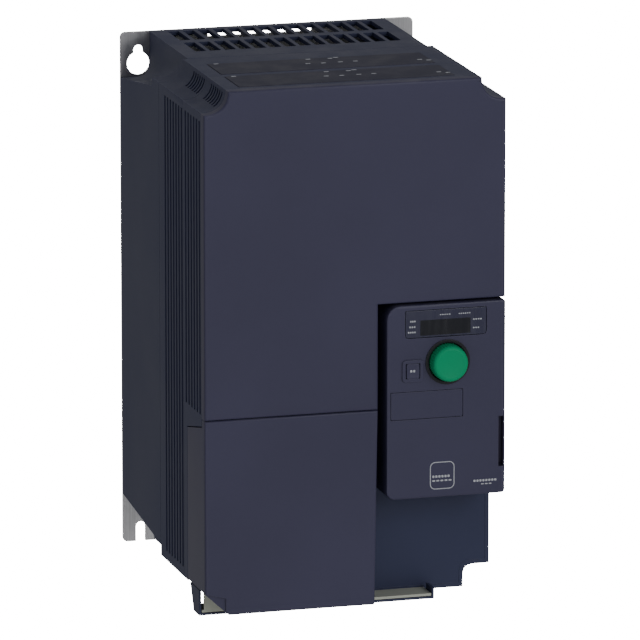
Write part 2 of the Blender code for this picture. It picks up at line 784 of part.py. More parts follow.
def cable_tray():
    """The frame under the terminal compartment, with a sloping left cheek."""
    top = NOTCH_TOP - 2 * GAP
    left = -HALF
    back = TRAY_BACK + TRAY_SLOPE
    cheek = [(back, TRAY_FOOT), (TRAY_FRONT, TRAY_FOOT), (TRAY_FRONT, top), (TRAY_BACK, top)]
    floor_top = TRAY_FOOT + TRAY_WALL
    mesh = mesh_from("tray", lambda bm: add_side_prism(bm, cheek, left, left + TRAY_WALL))
    tray = new_object("cable_tray", mesh, case_plastic())

    def add_floor(bm):
        add_box(bm, left + TRAY_WALL / 2, TRAY_RIGHT, back, TRAY_FRONT, TRAY_FOOT, floor_top)

    def add_end(bm):
        low, high = TRAY_FOOT + TRAY_WALL / 2, TRAY_END_TOP
        add_box(bm, TRAY_RIGHT - TRAY_WALL, TRAY_RIGHT, back, TRAY_FRONT, low, high)

    def cut_cable_holes(bm):
        for x in CABLE_HOLES:
            centre = (x, (back + TRAY_FRONT) / 2)
            width = CABLE_HOLE_RADIUS - 0.0025
            add_upright_prism(bm, circle(centre, width, 16), TRAY_FOOT - TRAY_WALL, floor_top + TRAY_WALL)

    join(tray, add_floor)
    join(tray, add_end)
    carve(tray, cut_cable_holes)
    return tray


def gland_top():
    return TRAY_FOOT + TRAY_WALL + GAP + GLAND_THICKNESS


def gland_plate():
    """The pale plate that lies on the tray, its cable holes over the tray's, with an upright front wall."""
    top = gland_top()
    bottom = top - GLAND_THICKNESS
    front, back = TRAY_FRONT - GAP, BAY_DEPTH + GAP
    left, right = -HALF + TRAY_WALL + GAP, TRAY_RIGHT - TRAY_WALL - GAP
    outline = rectangle(left, right, back, front)
    mesh = mesh_from("gland", lambda bm: add_upright_prism(bm, outline, bottom, top))
    plate = new_object("gland_plate", mesh, gland_grey())
    middle = (TRAY_BACK + TRAY_SLOPE + TRAY_FRONT) / 2

    def cut_cable_holes(bm):
        for x in CABLE_HOLES:
            ring = circle((x, middle), CABLE_HOLE_RADIUS - 0.0020, 16)
            add_upright_prism(bm, ring, bottom - WALL, top + WALL)

    def add_front_wall(bm):
        clear = WALL + 2 * GAP
        add_box(bm, -HALF + clear, BAY_LEFT - clear, *GLAND_WALL, bottom + GAP, GLAND_WALL_TOP)

    carve(plate, cut_cable_holes)
    join(plate, add_front_wall)
    return plate


# ---------------------------------------------------------------- heatsink and fans


def heatsink():
    """A base plate with upright fins, one comb-shaped section carried up the shroud."""
    half = SINK_WIDTH / 2
    pitch = (SINK_WIDTH - FIN_THICKNESS) / (FIN_COUNT - 1)
    comb = [(half, SINK_BASE_FRONT), (-half, SINK_BASE_FRONT)]
    for i in range(FIN_COUNT):
        left = -half + i * pitch
        right = left + FIN_THICKNESS
        comb += [(left, SINK_BASE_BACK), (left, SINK_FIN_BACK)]
        comb += [(right, SINK_FIN_BACK), (right, SINK_BASE_BACK)]
    comb.remove((-half, SINK_BASE_BACK))
    comb.pop()

    def build(bm):
        add_upright_prism(bm, comb, SINK_BOTTOM, SINK_TOP)

    return new_object("heatsink", mesh_from("heatsink", build), raw_aluminium())


def fan_centre(sign):
    return (sign * FAN_OFFSET, FAN_BACK + FAN_SIZE / 2)


def fan_frame(name, sign):
    """A square frame with a round throat and a motor seat on three struts."""
    x, depth = fan_centre(sign)
    half = FAN_SIZE / 2
    top = FAN_BOTTOM + FAN_THICKNESS
    outline = rounded_rectangle(x - half, x + half, depth - half, depth + half, (0.004,) * 4, 2)
    frame = new_object(name, mesh_from(name, lambda bm: add_upright_prism(bm, outline, FAN_BOTTOM, top)))
    frame.data.materials.append(black_plastic())
    throat = circle((x, depth), FAN_HOLE, 32)
    carve(frame, lambda bm: add_upright_prism(bm, throat, FAN_BOTTOM - WALL, top + WALL))
    seat_top = FAN_BOTTOM + STATOR_THICKNESS

    def add_struts(bm):
        for i in range(3):
            turn = math.radians(90 + 120 * i)
            forwards = Vector((math.cos(turn), math.sin(turn)))
            across = Vector((-forwards.y, forwards.x)) * 0.0018
            near, far = forwards * 0.5 * FAN_HUB, forwards * (FAN_HOLE + 0.0010)
            corners = [near - across, far - across, far + across, near + across]
            strut = [(x + c.x, depth + c.y) for c in corners]
            add_upright_prism(bm, strut, FAN_BOTTOM + 0.0002, seat_top - 0.0002)

    join(frame, add_struts)
    join(frame, lambda bm: add_upright_prism(bm, circle((x, depth), FAN_HUB, 20), FAN_BOTTOM, seat_top))
    return smooth(frame)


def fan_rotor(name, sign):
    """The impeller: a hub over the motor and swept blades, turning about its upright axis."""
    x, depth = fan_centre(sign)
    low = FAN_BOTTOM + STATOR_THICKNESS + 2 * GAP
    high = FAN_BOTTOM + FAN_THICKNESS - GAP
    axle = pivot(f"{name}_axis", x, depth, (low + high) / 2)
    centre = origin_of(axle)
    hub_ring = circle((x, depth), FAN_HUB, 24)

    def local(build):
        def shifted(bm):
            build(bm)
            bmesh.ops.translate(bm, verts=bm.verts, vec=-centre)
        return shifted

    rotor = new_object(name, mesh_from(name, local(lambda bm: add_upright_prism(bm, hub_ring, low, high))))
    rotor.data.materials.append(black_plastic())
    rotor.parent = axle
    reach = FAN_HOLE - FAN_TIP_GAP

    def blade_corner(angle, radius, height):
        turn = math.radians(angle)
        return place(x + radius * math.cos(turn), depth + radius * math.sin(turn), height)

    def add_blades(bm):
        bottom, top = low + 0.0015, high - 0.0015
        for i in range(BLADE_COUNT):
            start = 360 * i / BLADE_COUNT
            rings = []
            for radius in (0.7 * FAN_HUB, reach):
                thick = math.degrees(BLADE_THICKNESS / radius)
                lead, trail = start, start + BLADE_SWEEP
                ring = [blade_corner(lead, radius, bottom), blade_corner(lead + thick, radius, bottom)]
                ring += [blade_corner(trail + thick, radius, top), blade_corner(trail, radius, top)]
                rings.append(ring)
            add_loft(bm, rings)

    modifier = rotor.modifiers.new("blades", "BOOLEAN")
    modifier.operation = "UNION"
    modifier.solver = "EXACT"
    modifier.object = helper(f"{name}_blades", add_blades)
    modifier.object.hide_set(True)
    return smooth(rotor)


# ---------------------------------------------------------------- boards and their pieces


def board(name, edges, back):
    outline = rectangle(*edges)
    thing = new_object(name, mesh_from(name, lambda bm: add_front_prism(bm, outline, back, back + BOARD)))
    thing.data.materials.append(board_green())
    return thing


def pillar_places():
    left, right, _, top = POWER_BOARD
    bottom = CONTROL_BOARD[2]
    columns = (left + PILLAR_INSET, right - PILLAR_INSET)
    rows = (bottom + PILLAR_INSET, top - PILLAR_INSET)
    return [(x, z) for z in rows for x in columns]


def power_board():
    """The main board, clamped at the necks of the four pillars that pass through it."""
    thing = board("power_board", POWER_BOARD, POWER_BOARD_BACK)

    def cut_holes(bm):
        for centre in pillar_places():
            ring = circle(centre, PILLAR_NECK + GAP, 12)
            add_front_prism(bm, ring, POWER_BOARD_BACK - BOARD, POWER_BOARD_BACK + 2 * BOARD)

    carve(thing, cut_holes)
    return thing


def board_stack():
    """Hexagonal pillars from the heatsink through the power board, and the screws on the control board."""
    under = POWER_BOARD_BACK - GAP
    over = POWER_BOARD_BACK + BOARD + GAP
    profile = [(SINK_BASE_FRONT + GAP, PILLAR_RADIUS), (under, PILLAR_RADIUS), (under, PILLAR_NECK)]
    profile += [(over, PILLAR_NECK), (over, PILLAR_RADIUS), (CONTROL_BOARD_BACK - GAP, PILLAR_RADIUS)]
    seat = CONTROL_BOARD_BACK + BOARD + GAP
    for number, centre in enumerate(pillar_places(), 1):
        name = f"board_pillar_{number}"
        pillar = mesh_from(name, lambda bm: add_turned(bm, profile, centre, 6))
        new_object(name, pillar, plated_steel())
        head = (BOARD_SCREW_RADIUS, seat, BOARD_SCREW_HEAD)
        pan_head_screw(f"board_screw_{number}", centre, *head, plated_steel())


def capacitor(number):
    x = (number - 2.5) * CAPACITOR_PITCH
    back = POWER_BOARD_BACK + BOARD + GAP
    front = back + CAPACITOR_LENGTH
    r = CAPACITOR_RADIUS
    profile = [(back, r - 0.001), (back + 0.001, r), (back + 0.003, r), (back + 0.004, r - 0.0008)]
    profile += [(back + 0.005, r), (front - 0.001, r), (front, r - 0.001)]
    name = f"dc_capacitor_{number}"

    def build(bm):
        add_turned(bm, profile, (x, CAPACITOR_HEIGHT), 16)

    return smooth(new_object(name, mesh_from(name, build), black_plastic()))


def choke():
    """A wound ring that stands flat on the power board."""
    back = POWER_BOARD_BACK + BOARD + GAP + CHOKE_TUBE

    def build(bm):
        rings = []
        for i in range(20):
            turn = 2 * math.pi * i / 20
            ring = []
            for j in range(8):
                round_turn = 2 * math.pi * j / 8
                reach = CHOKE_RADIUS + CHOKE_TUBE * math.cos(round_turn)
                x = CHOKE_CENTRE[0] + reach * math.cos(turn)
                z = CHOKE_CENTRE[1] + reach * math.sin(turn)
                ring.append(bm.verts.new(place(x, back + CHOKE_TUBE * math.sin(round_turn), z)))
            rings.append(ring)
        for ring, following in zip(rings, rings[1:] + rings[:1]):
            for j in range(8):
                k = (j + 1) % 8
                bm.faces.new((ring[j], ring[k], following[k], following[j]))

    return smooth(new_object("filter_choke", mesh_from("choke", build), copper_wire()), 60)


def relay():
    x, z = RELAY_CENTRE
    width, height, depth = RELAY
    back = POWER_BOARD_BACK + BOARD + GAP
    edges = (x - width / 2, x + width / 2, z - height / 2, z + height / 2)
    outline = rounded_rectangle(*edges, (0.001,) * 4, 2)

    def build(bm):
        add_front_prism(bm, outline, back, back + depth)

    return new_object("charging_relay", mesh_from("relay", build), terminal_grey())


def power_module():
    """The transistor module, clamped on the heatsink by an ear at each end."""
    left, right, bottom, top = MODULE
    back, front = SINK_BASE_FRONT + GAP, POWER_BOARD_BACK - GAP
    ear_top = back + 0.004
    side = [(left - MODULE_EAR, back), (right + MODULE_EAR, back), (right + MODULE_EAR, ear_top)]
    side += [(right, ear_top), (right, front), (left, front), (left, ear_top), (left - MODULE_EAR, ear_top)]

    def build(bm):
        add_upright_prism(bm, side, bottom, top)

    module = new_object("power_module", mesh_from("module", build), black_plastic())
    height = (bottom + top) / 2
    for number, x in enumerate((left - MODULE_EAR / 2, right + MODULE_EAR / 2), 1):
        name = f"module_screw_{number}"
        pan_head_screw(name, (x, height), MODULE_SCREW_RADIUS, ear_top + GAP, 0.002, plated_steel())
    return module


# ---------------------------------------------------------------- terminals


def terminal_back():
    return HOUSING_FRONT + 2 * GAP + WALL


def spread(left, right, count):
    """Centres of count equal cells between left and right, and one cell's width."""
    cell = (right - left) / count
    return [left + (i + 0.5) * cell for i in range(count)], cell


def power_terminals():
    """The mains and motor terminal block, its screw wells at the front and wire entries below."""
    left, right, bottom, top = POWER_TERMINALS
    back = terminal_back()
    front = back + TERMINAL_DEPTH
    outline = rectangle(left, right, bottom, top)
    mesh = mesh_from("terminals", lambda bm: add_front_prism(bm, outline, back, front))
    block = new_object("power_terminals", mesh)
    block.data.materials.append(terminal_grey())
    centres, cell = spread(left, right, TERMINAL_COUNT)
    floor = front - TERMINAL_WELL_DEPTH
    height = top - 0.007

    def cut_wells(bm):
        for x in centres:
            ring = circle((x, height), TERMINAL_SCREW_RADIUS + GAP, 14)
            add_front_prism(bm, ring, floor, front + WALL)

    def cut_entries(bm):
        for x in centres:
            reach = (x - 0.32 * cell, x + 0.32 * cell, back + 0.005, floor - 0.002)
            add_box(bm, *reach, bottom - WALL, bottom + 0.009)

    carve(block, cut_wells)
    carve(block, cut_entries)
    for number, x in enumerate(centres, 1):
        name = f"terminal_screw_{number}"
        pan_head_screw(name, (x, height), TERMINAL_SCREW_RADIUS, floor + GAP, 0.0022, plated_steel())
    return block


def control_terminals():
    left, right, bottom, top = CONTROL_TERMINALS
    back = terminal_back()
    front = back + CONTROL_DEPTH
    outline = rectangle(left, right, bottom, top)
    name = "control_terminals"
    block = new_object(name, mesh_from(name, lambda bm: add_front_prism(bm, outline, back, front)))
    block.data.materials.append(terminal_grey())
    centres, cell = spread(left, right, CONTROL_COUNT)

    def cut_entries(bm):
        for x in centres:
            half = 0.32 * cell
            add_box(bm, x - half, x + half, front - 0.006, front + WALL, bottom + 0.0015, bottom + 0.0055)
            add_box(bm, x - half, x + half, front - 0.003, front + WALL, top - 0.0045, top - 0.0015)

    carve(block, cut_entries)
    return block


def network_socket():
    left, right, bottom, top = NETWORK_SOCKET
    back = terminal_back()
    front = back + CONTROL_DEPTH
    outline = rectangle(left, right, bottom, top)
    name = "network_socket"
    socket = new_object(name, mesh_from(name, lambda bm: add_front_prism(bm, outline, back, front)))
    socket.data.materials.append(black_plastic())
    wall = 0.0015
    low, high = bottom + wall + 0.001, top - wall
    mouth = [(left + wall, low), (right - wall, low), (right - wall, high - 0.002), (right - 0.005, high)]
    mouth += [(left + 0.005, high), (left + wall, high - 0.002)]
    carve(socket, lambda bm: add_front_prism(bm, mouth, back + 0.003, front + WALL))
    return socket


# ---------------------------------------------------------------- control panel


def panel_back():
    return PANEL_FRONT - PANEL_THICKNESS


def panel_shell():
    """The keypad's moulded shell: rounded corners, window and key openings, a grip at its right edge."""
    edges = (PANEL_LEFT, HALF, PANEL_BOTTOM, PANEL_TOP)
    outline = rounded_rectangle(*edges, PANEL_CORNERS)
    back = panel_back()

    def build(bm):
        add_front_prism(bm, outline, back, PANEL_FRONT)
        round_front_edges(bm, PANEL_FRONT, EDGE_RADIUS)

    def hollow(bm):
        across = (PANEL_LEFT + PANEL_WALL, HALF - PANEL_GRIP_WALL)
        upwards = (PANEL_BOTTOM + PANEL_WALL, PANEL_TOP - PANEL_WALL)
        cavity = rounded_rectangle(*across, *upwards, PANEL_INNER_CORNERS, 2)
        add_front_prism(bm, cavity, back - WALL, PANEL_FRONT - PANEL_WALL)

    def cut_window(bm):
        left, right, bottom, top = WINDOW
        wide = rounded_rectangle(left - GAP, right + GAP, bottom - GAP, top + GAP, WINDOW_SEAT_CORNERS, 2)
        add_front_prism(bm, wide, PANEL_FRONT - WINDOW_THICKNESS - GAP, PANEL_FRONT + WALL)

    def cut_display_opening(bm):
        left, right, bottom, top = WINDOW
        inside = (left + DISPLAY_MARGIN - GAP, right - DISPLAY_MARGIN + GAP, bottom + 0.0015, top - 0.0045)
        add_box(bm, inside[0], inside[1], back, PANEL_FRONT, inside[2], inside[3])

    def cut_controls(bm):
        reach = (PANEL_FRONT - 2 * PANEL_WALL, PANEL_FRONT + WALL)
        add_front_prism(bm, circle(DIAL_CENTRE, DIAL_RADIUS + DIAL_CLEARANCE, 32), *reach)
        half = [side / 2 + KEY_CLEARANCE for side in KEY_SIZE]
        x, z = KEY_CENTRE
        add_box(bm, x - half[0], x + half[0], *reach, z - half[1], z + half[1])

    def cut_label(bm):
        left, right, bottom, top = LABEL
        depth = (PANEL_FRONT - LABEL_THICKNESS - GAP, PANEL_FRONT + WALL)
        add_box(bm, left - GAP, right + GAP, *depth, bottom - GAP, top + GAP)

    def cut_grip(bm):
        depth = (PANEL_FRONT - GRIP_DEPTH, PANEL_FRONT + WALL)
        add_box(bm, HALF - GRIP_WIDTH, HALF - GRIP_LIP, *depth, GRIP_BOTTOM, GRIP_TOP)

    shell = smooth(new_object("panel_shell", mesh_from("panel_shell", build), panel_plastic()))
    for cutter in (hollow, cut_window, cut_display_opening, cut_controls, cut_label, cut_grip):
        carve(shell, cutter)
    return shell


def display_window():
    left, right, bottom, top = WINDOW
    outline = rounded_rectangle(left, right, bottom, top, WINDOW_CORNERS, 2)
    depth = (PANEL_FRONT - WINDOW_THICKNESS, PANEL_FRONT)

    def build(bm):
        add_front_prism(bm, outline, *depth)

    return new_object("display_window", mesh_from("window", build), smoked_window())


def display_module():
    left, right, bottom, top = WINDOW
    front = PANEL_FRONT - WINDOW_THICKNESS - 2 * GAP
    edges = (left + DISPLAY_MARGIN, right - DISPLAY_MARGIN, bottom + 0.0018, top - 0.0048)
    outline = rectangle(*edges)

    def build(bm):
        add_front_prism(bm, outline, front - DISPLAY_DEPTH, front)

    return new_object("display_module", mesh_from("display", build), black_plastic())


def label_insert():
    left, right, bottom, top = LABEL
    outline = rounded_rectangle(left, right, bottom, top, (0.001,) * 4, 2)
    depth = (PANEL_FRONT - LABEL_THICKNESS, PANEL_FRONT)

    def build(bm):
        add_front_prism(bm, outline, *depth)

    return new_object("label_insert", mesh_from("label", build), panel_plastic())


def dial_ring():
    """The dark rim round the dial, a flat ring on the panel's face."""
    inner = DIAL_RADIUS + DIAL_CLEARANCE
    outer = inner + DIAL_RING_WIDTH
    back = PANEL_FRONT + GAP
    front = back + BEZEL_THICKNESS
    name = "dial_ring"

    def build(bm):
        add_turned(bm, [(back, outer), (front, outer - 0.0003)], DIAL_CENTRE, 40)

    ring = new_object(name, mesh_from(name, build), black_plastic())
    carve(ring, lambda bm: add_turned(bm, [(back - WALL, inner), (front + WALL, inner)], DIAL_CENTRE, 40))
    return smooth(ring)


def key_bezel():
    """The raised frame round the escape key."""
    x, z = KEY_CENTRE
    half_width, half_height = (side / 2 for side in KEY_FRAME)
    back = PANEL_FRONT + GAP
    edges = (x - half_width, x + half_width, z - half_height, z + half_height)
    outline = rounded_rectangle(*edges, (BEZEL_CORNER,) * 4, 2)
    name = "key_bezel"

    def build(bm):
        add_front_prism(bm, outline, back, back + BEZEL_THICKNESS)

    bezel = new_object(name, mesh_from(name, build), panel_plastic())
    hole = [side / 2 + KEY_CLEARANCE for side in KEY_SIZE]
    reach = (back - WALL, back + WALL)
    carve(bezel, lambda bm: add_box(bm, x - hole[0], x + hole[0], *reach, z - hole[1], z + hole[1]))
    return bezel


def keypad_board():
    """The panel's own circuit board, with its plug moulded on behind as a separate piece."""
    left = PANEL_LEFT + PANEL_WALL + KEYPAD_BOARD_MARGIN
    right = HALF - PANEL_GRIP_WALL - KEYPAD_BOARD_MARGIN
    return board("keypad_board", (left, right, *KEYPAD_BOARD_HEIGHTS), KEYPAD_BOARD_BACK)


def encoder():
    """The dial's rotary switch: a square body on the keypad board, with a bore for the shaft."""
    x, z = DIAL_CENTRE
    half = ENCODER_HALF
    back = KEYPAD_BOARD_BACK + BOARD + GAP
    front = back + ENCODER_DEPTH
    outline = rounded_rectangle(x - half, x + half, z - half, z + half, (0.0008,) * 4, 2)
    mesh = mesh_from("encoder", lambda bm: add_front_prism(bm, outline, back, front))
    body = new_object("encoder_body", mesh, plated_steel())
    bore = SHAFT_RADIUS + SHAFT_CLEARANCE
    reach = [(back + ENCODER_FLOOR, bore), (front + WALL, bore)]
    carve(body, lambda bm: add_turned(bm, reach, DIAL_CENTRE, 20))
    return body


def encoder_shaft(press):
    """The plunger that the dial sits on. It slides in the encoder when the dial is pressed."""
    back = KEYPAD_BOARD_BACK + BOARD + GAP + ENCODER_FLOOR + GAP + DIAL_STROKE
    front = PANEL_FRONT + 0.5 * DIAL_REACH
    ends = [(back, SHAFT_RADIUS), (front, SHAFT_RADIUS)]
    name = "encoder_shaft"
    mesh = mesh_from(name, lambda bm: add_turned(bm, ends, DIAL_CENTRE, 20))
    shaft = smooth(new_object(name, mesh, plated_steel()))
    drop_onto(shaft, press)
    return shaft


def drop_onto(thing, axis):
    """Moves thing's origin onto an empty and parents it there, leaving its mesh where it lies."""
    centre = origin_of(axis)
    for vertex in thing.data.vertices:
        vertex.co -= centre
    thing.location = centre
    hang(thing, axis)


def jog_dial(turn):
    """The knurled dial with a dished face, bored from behind for the shaft."""
    back = PANEL_FRONT - DIAL_BASE
    front = PANEL_FRONT + DIAL_REACH
    r = DIAL_RADIUS
    profile = [(back, r), (front - 0.0025, r - 0.0004), (front - 0.0007, r - 0.0012), (front, r - 0.0026)]
    profile += [(front - 0.0006, 0.45 * r)]

    def build(bm):
        add_turned(bm, profile, DIAL_CENTRE, 36)

    dial = smooth(new_object("jog_dial", mesh_from("jog_dial", build), dial_green()))
    bore = SHAFT_RADIUS + SHAFT_CLEARANCE
    reach = [(back - WALL, bore), (PANEL_FRONT + 0.5 * DIAL_REACH + GAP, bore)]
    drop_onto(dial, turn)
    carve(dial, lambda bm: add_turned(bm, reach, DIAL_CENTRE, 20))
    return dial


def escape_key(press):
    x, z = KEY_CENTRE
    half_width, half_height = (side / 2 for side in KEY_SIZE)
    back = KEYPAD_BOARD_BACK + BOARD + GAP + KEY_STROKE + KEY_STEM
    front = PANEL_FRONT + KEY_REACH
    edges = (x - half_width, x + half_width, z - half_height, z + half_height)
    outline = rounded_rectangle(*edges, (KEY_CORNER,) * 4, 2)

    def build(bm):
        add_front_prism(bm, outline, back, front)
        round_front_edges(bm, front, KEY_EDGE_RADIUS)

    key = smooth(new_object("escape_key", mesh_from("escape_key", build), panel_plastic()))
    drop_onto(key, press)
    return key


def key_switch():
    """The small switch under the escape key."""
    x, z = KEY_CENTRE
    back = KEYPAD_BOARD_BACK + BOARD + GAP
    half = SWITCH_HALF

    def build(bm):
        add_box(bm, x - half, x + half, back, back + SWITCH_DEPTH, z - half, z + half)

    return new_object("key_switch", mesh_from("key_switch", build), black_plastic())


def panel_plug():
    x, z = PLUG_CENTRE
    half_width, half_height = (side / 2 for side in PLUG_SIZE)
    front = KEYPAD_BOARD_BACK - GAP
    back = BAY_DEPTH - WALL
    outline = rectangle(x - half_width, x + half_width, z - half_height, z + half_height)

    def build(bm):
        add_front_prism(bm, outline, back, front)

    return new_object("panel_plug", mesh_from("plug", build), black_plastic())


def panel_socket():
    """The socket in the bay's back wall that the panel's plug pushes into."""
    x, z = PLUG_CENTRE
    half_width, half_height = (side / 2 + SOCKET_WALL for side in PLUG_SIZE)
    back, front = BAY_DEPTH - SOCKET_BEHIND, BAY_DEPTH + SOCKET_AHEAD
    outline = rectangle(x - half_width, x + half_width, z - half_height, z + half_height)
    mesh = mesh_from("socket", lambda bm: add_front_prism(bm, outline, back, front))
    socket = new_object("panel_socket", mesh, black_plastic())
    inner = [side / 2 + GAP for side in PLUG_SIZE]
    reach = (BAY_DEPTH - WALL - 2 * GAP, front + WALL)
    carve(socket, lambda bm: add_box(bm, x - inner[0], x + inner[0], *reach, z - inner[1], z + inner[1]))
    return socket


def control_panel():
    """The plug-in keypad with everything it carries, hung on the empties of its joints."""
    slide = pivot("panel_slide_axis", (PANEL_LEFT + HALF) / 2, panel_back(), (PANEL_BOTTOM + PANEL_TOP) / 2)
    dial_press = pivot("dial_press_axis", DIAL_CENTRE[0], PANEL_FRONT, DIAL_CENTRE[1], slide)
    dial_turn = pivot("dial_turn_axis", DIAL_CENTRE[0], PANEL_FRONT, DIAL_CENTRE[1], dial_press)
    key_press = pivot("key_press_axis", KEY_CENTRE[0], PANEL_FRONT, KEY_CENTRE[1], slide)
    pieces = (panel_shell, display_window, display_module, label_insert, dial_ring, key_bezel, keypad_board)
    for piece in (*pieces, encoder, key_switch, panel_plug):
        hang(piece(), slide)
    encoder_shaft(dial_press)
    jog_dial(dial_turn)
    escape_key(key_press)


def main():
    for thing in list(bpy.data.objects):
        bpy.data.objects.remove(thing, do_unlink=True)
    mounting_plate()
    rear_shroud()
    main_housing()
    front_frame()
    for name in STRIPS:
        vent_strip(name)
    upper_front_cover()
    cover_slide = pivot("cover_slide_axis", 0.0, DEPTH, SEAM_HEIGHT / 2)
    hang(lower_front_cover(), cover_slide)
    cable_tray()
    gland_plate()
    heatsink()
    for side, sign in (("left", -1), ("right", 1)):
        fan_frame(f"fan_frame_{side}", sign)
        fan_rotor(f"fan_rotor_{side}", sign)
    power_board()
    board("control_board", CONTROL_BOARD, CONTROL_BOARD_BACK)
    board_stack()
    for number in range(1, 5):
        capacitor(number)
    choke()
    relay()
    power_module()
    power_terminals()
    control_terminals()
    network_socket()
    seat = terminal_back()
    pan_head_screw("earth_screw", EARTH_SCREW, EARTH_SCREW_RADIUS, seat, 0.003, plated_steel())
    panel_socket()
    control_panel()


main()
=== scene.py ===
"""A wall-mounted variable frequency drive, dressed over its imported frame.

Metres, +X to the right as seen from the front, +Y back towards the wall, +Z up. A depth is measured forwards
from the wall face, so it is minus Y. Every size that the frame holds is read from the frame's own boxes, and the
sizes given here are those of details that the frame leaves out.
"""

from __future__ import annotations

import json
import logging
import math
from dataclasses import dataclass
from enum import Enum
from typing import Iterable, Sequence

import bmesh
import bpy
import numpy as np
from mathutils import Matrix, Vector

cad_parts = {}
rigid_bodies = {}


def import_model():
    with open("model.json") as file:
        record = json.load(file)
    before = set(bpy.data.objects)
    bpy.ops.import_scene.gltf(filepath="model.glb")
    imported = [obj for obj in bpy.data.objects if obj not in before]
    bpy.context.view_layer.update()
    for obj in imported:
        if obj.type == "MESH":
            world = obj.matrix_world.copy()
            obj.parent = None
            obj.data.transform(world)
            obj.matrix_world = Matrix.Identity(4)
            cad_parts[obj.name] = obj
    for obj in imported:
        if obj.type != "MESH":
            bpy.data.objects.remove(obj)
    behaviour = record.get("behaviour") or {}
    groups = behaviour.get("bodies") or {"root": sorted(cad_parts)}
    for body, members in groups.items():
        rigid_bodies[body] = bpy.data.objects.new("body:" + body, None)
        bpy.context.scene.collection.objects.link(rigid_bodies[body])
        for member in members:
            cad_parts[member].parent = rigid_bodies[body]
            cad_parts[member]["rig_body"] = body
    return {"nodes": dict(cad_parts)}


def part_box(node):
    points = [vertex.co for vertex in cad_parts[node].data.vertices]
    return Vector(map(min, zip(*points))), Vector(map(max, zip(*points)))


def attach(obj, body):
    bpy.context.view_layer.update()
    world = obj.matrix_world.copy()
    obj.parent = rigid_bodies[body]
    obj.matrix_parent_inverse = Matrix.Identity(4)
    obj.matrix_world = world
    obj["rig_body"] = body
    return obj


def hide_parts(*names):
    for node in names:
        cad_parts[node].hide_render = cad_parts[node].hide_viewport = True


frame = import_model()

LOG = logging.getLogger("drive")
TINY = 1e-6

Colour = tuple[float, float, float]
Socket = bpy.types.NodeSocket
Value = float | Socket


# ---------------------------------------------------------------- places and outlines


class Facing(Enum):
    """Which way the plane of an outline looks, and so which way its profile rises."""

    FRONT = "front"
    TOP = "top"


@dataclass(frozen=True)
class Extent:
    """The box of a frame node, as spans across, in depth and in height."""

    left: float
    right: float
    back: float
    front: float
    bottom: float
    top: float

    @classmethod
    def of(cls, node: str) -> Extent:
        """The box of the named node at rest."""
        low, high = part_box(node)
        return cls(low.x, high.x, -high.y, -low.y, low.z, high.z)

    @property
    def middle(self) -> tuple[float, float]:
        """The centre of the box as seen from the front."""
        return (self.left + self.right) / 2, (self.bottom + self.top) / 2

    @property
    def width(self) -> float:
        """The span across."""
        return self.right - self.left

    def face(self) -> np.ndarray:
        """The corners of the box as seen from the front."""
        return rectangle(self.left, self.right, self.bottom, self.top)


def in_scene(plane: np.ndarray, rise: np.ndarray, facing: Facing) -> np.ndarray:
    """Turns plane coordinates and a rise out of the plane into scene coordinates.

    Args:
        plane: Pairs in the plane, (across, height) for FRONT and (across, Y) for TOP, in the last axis.
        rise: Depth forwards from the wall for FRONT, height for TOP.
        facing: The way the plane looks.

    Returns:
        The same array of points with three numbers in the last axis.
    """
    across, second = plane[..., 0], plane[..., 1]
    if facing is Facing.FRONT:
        return np.stack([across, -rise, second], axis=-1)
    return np.stack([across, second, rise], axis=-1)


def rectangle(left: float, right: float, bottom: float, top: float) -> np.ndarray:
    """The four corners of a rectangle, anticlockwise from the lower left."""
    return np.array([(left, bottom), (right, bottom), (right, top), (left, top)])


def mitres(outline: np.ndarray) -> np.ndarray:
    """The inward step at each corner that moves both of its edges in by one unit.

    It is the sum of the two edges' inward normals divided by one plus their dot product.

    Args:
        outline: Corners of a closed anticlockwise outline, one per row.

    Returns:
        One vector per corner.
    """
    ahead = np.roll(outline, -1, axis=0) - outline
    ahead /= np.linalg.norm(ahead, axis=1, keepdims=True)
    normal = np.stack([-ahead[:, 1], ahead[:, 0]], axis=1)
    behind = np.roll(normal, 1, axis=0)
    return (normal + behind) / (1 + np.sum(normal * behind, axis=1, keepdims=True))


def fillet(corners: np.ndarray, radii: float | Sequence[float], steps: int = 6) -> np.ndarray:
    """Rounds the corners of an outline, convex and concave ones alike.

    Each arc's centre is the corner moved along its mitre by the radius, inwards where the outline turns left and
    outwards where it turns right, and the arc's radius turns from one edge's normal to the next one's.

    Args:
        corners: Anticlockwise corners, one per row.
        radii: One radius for all corners or one for each.
        steps: Straight pieces in each arc.

    Returns:
        The rounded outline, anticlockwise.
    """
    ahead = np.roll(corners, -1, axis=0) - corners
    ahead /= np.linalg.norm(ahead, axis=1, keepdims=True)
    behind = np.roll(ahead, 1, axis=0)
    turn = np.arctan2(behind[:, 0] * ahead[:, 1] - behind[:, 1] * ahead[:, 0], np.sum(behind * ahead, axis=1))
    signed = np.sign(turn) * np.broadcast_to(np.asarray(radii, float), turn.shape)
    centre = corners + signed[:, None] * mitres(corners)
    start = np.arctan2(behind[:, 0], -behind[:, 1])
    angle = start[:, None] + turn[:, None] * np.linspace(0, 1, steps + 1)
    spoke = np.stack([np.cos(angle), np.sin(angle)], axis=-1)
    return (centre[:, None] - signed[:, None, None] * spoke).reshape(-1, 2)


def circle(centre: tuple[float, float], radius: float, steps: int) -> np.ndarray:
    """Points round a circle, anticlockwise."""
    angle = np.linspace(0, 2 * math.pi, steps, endpoint=False)
    return np.array(centre) + radius * np.stack([np.cos(angle), np.sin(angle)], axis=1)


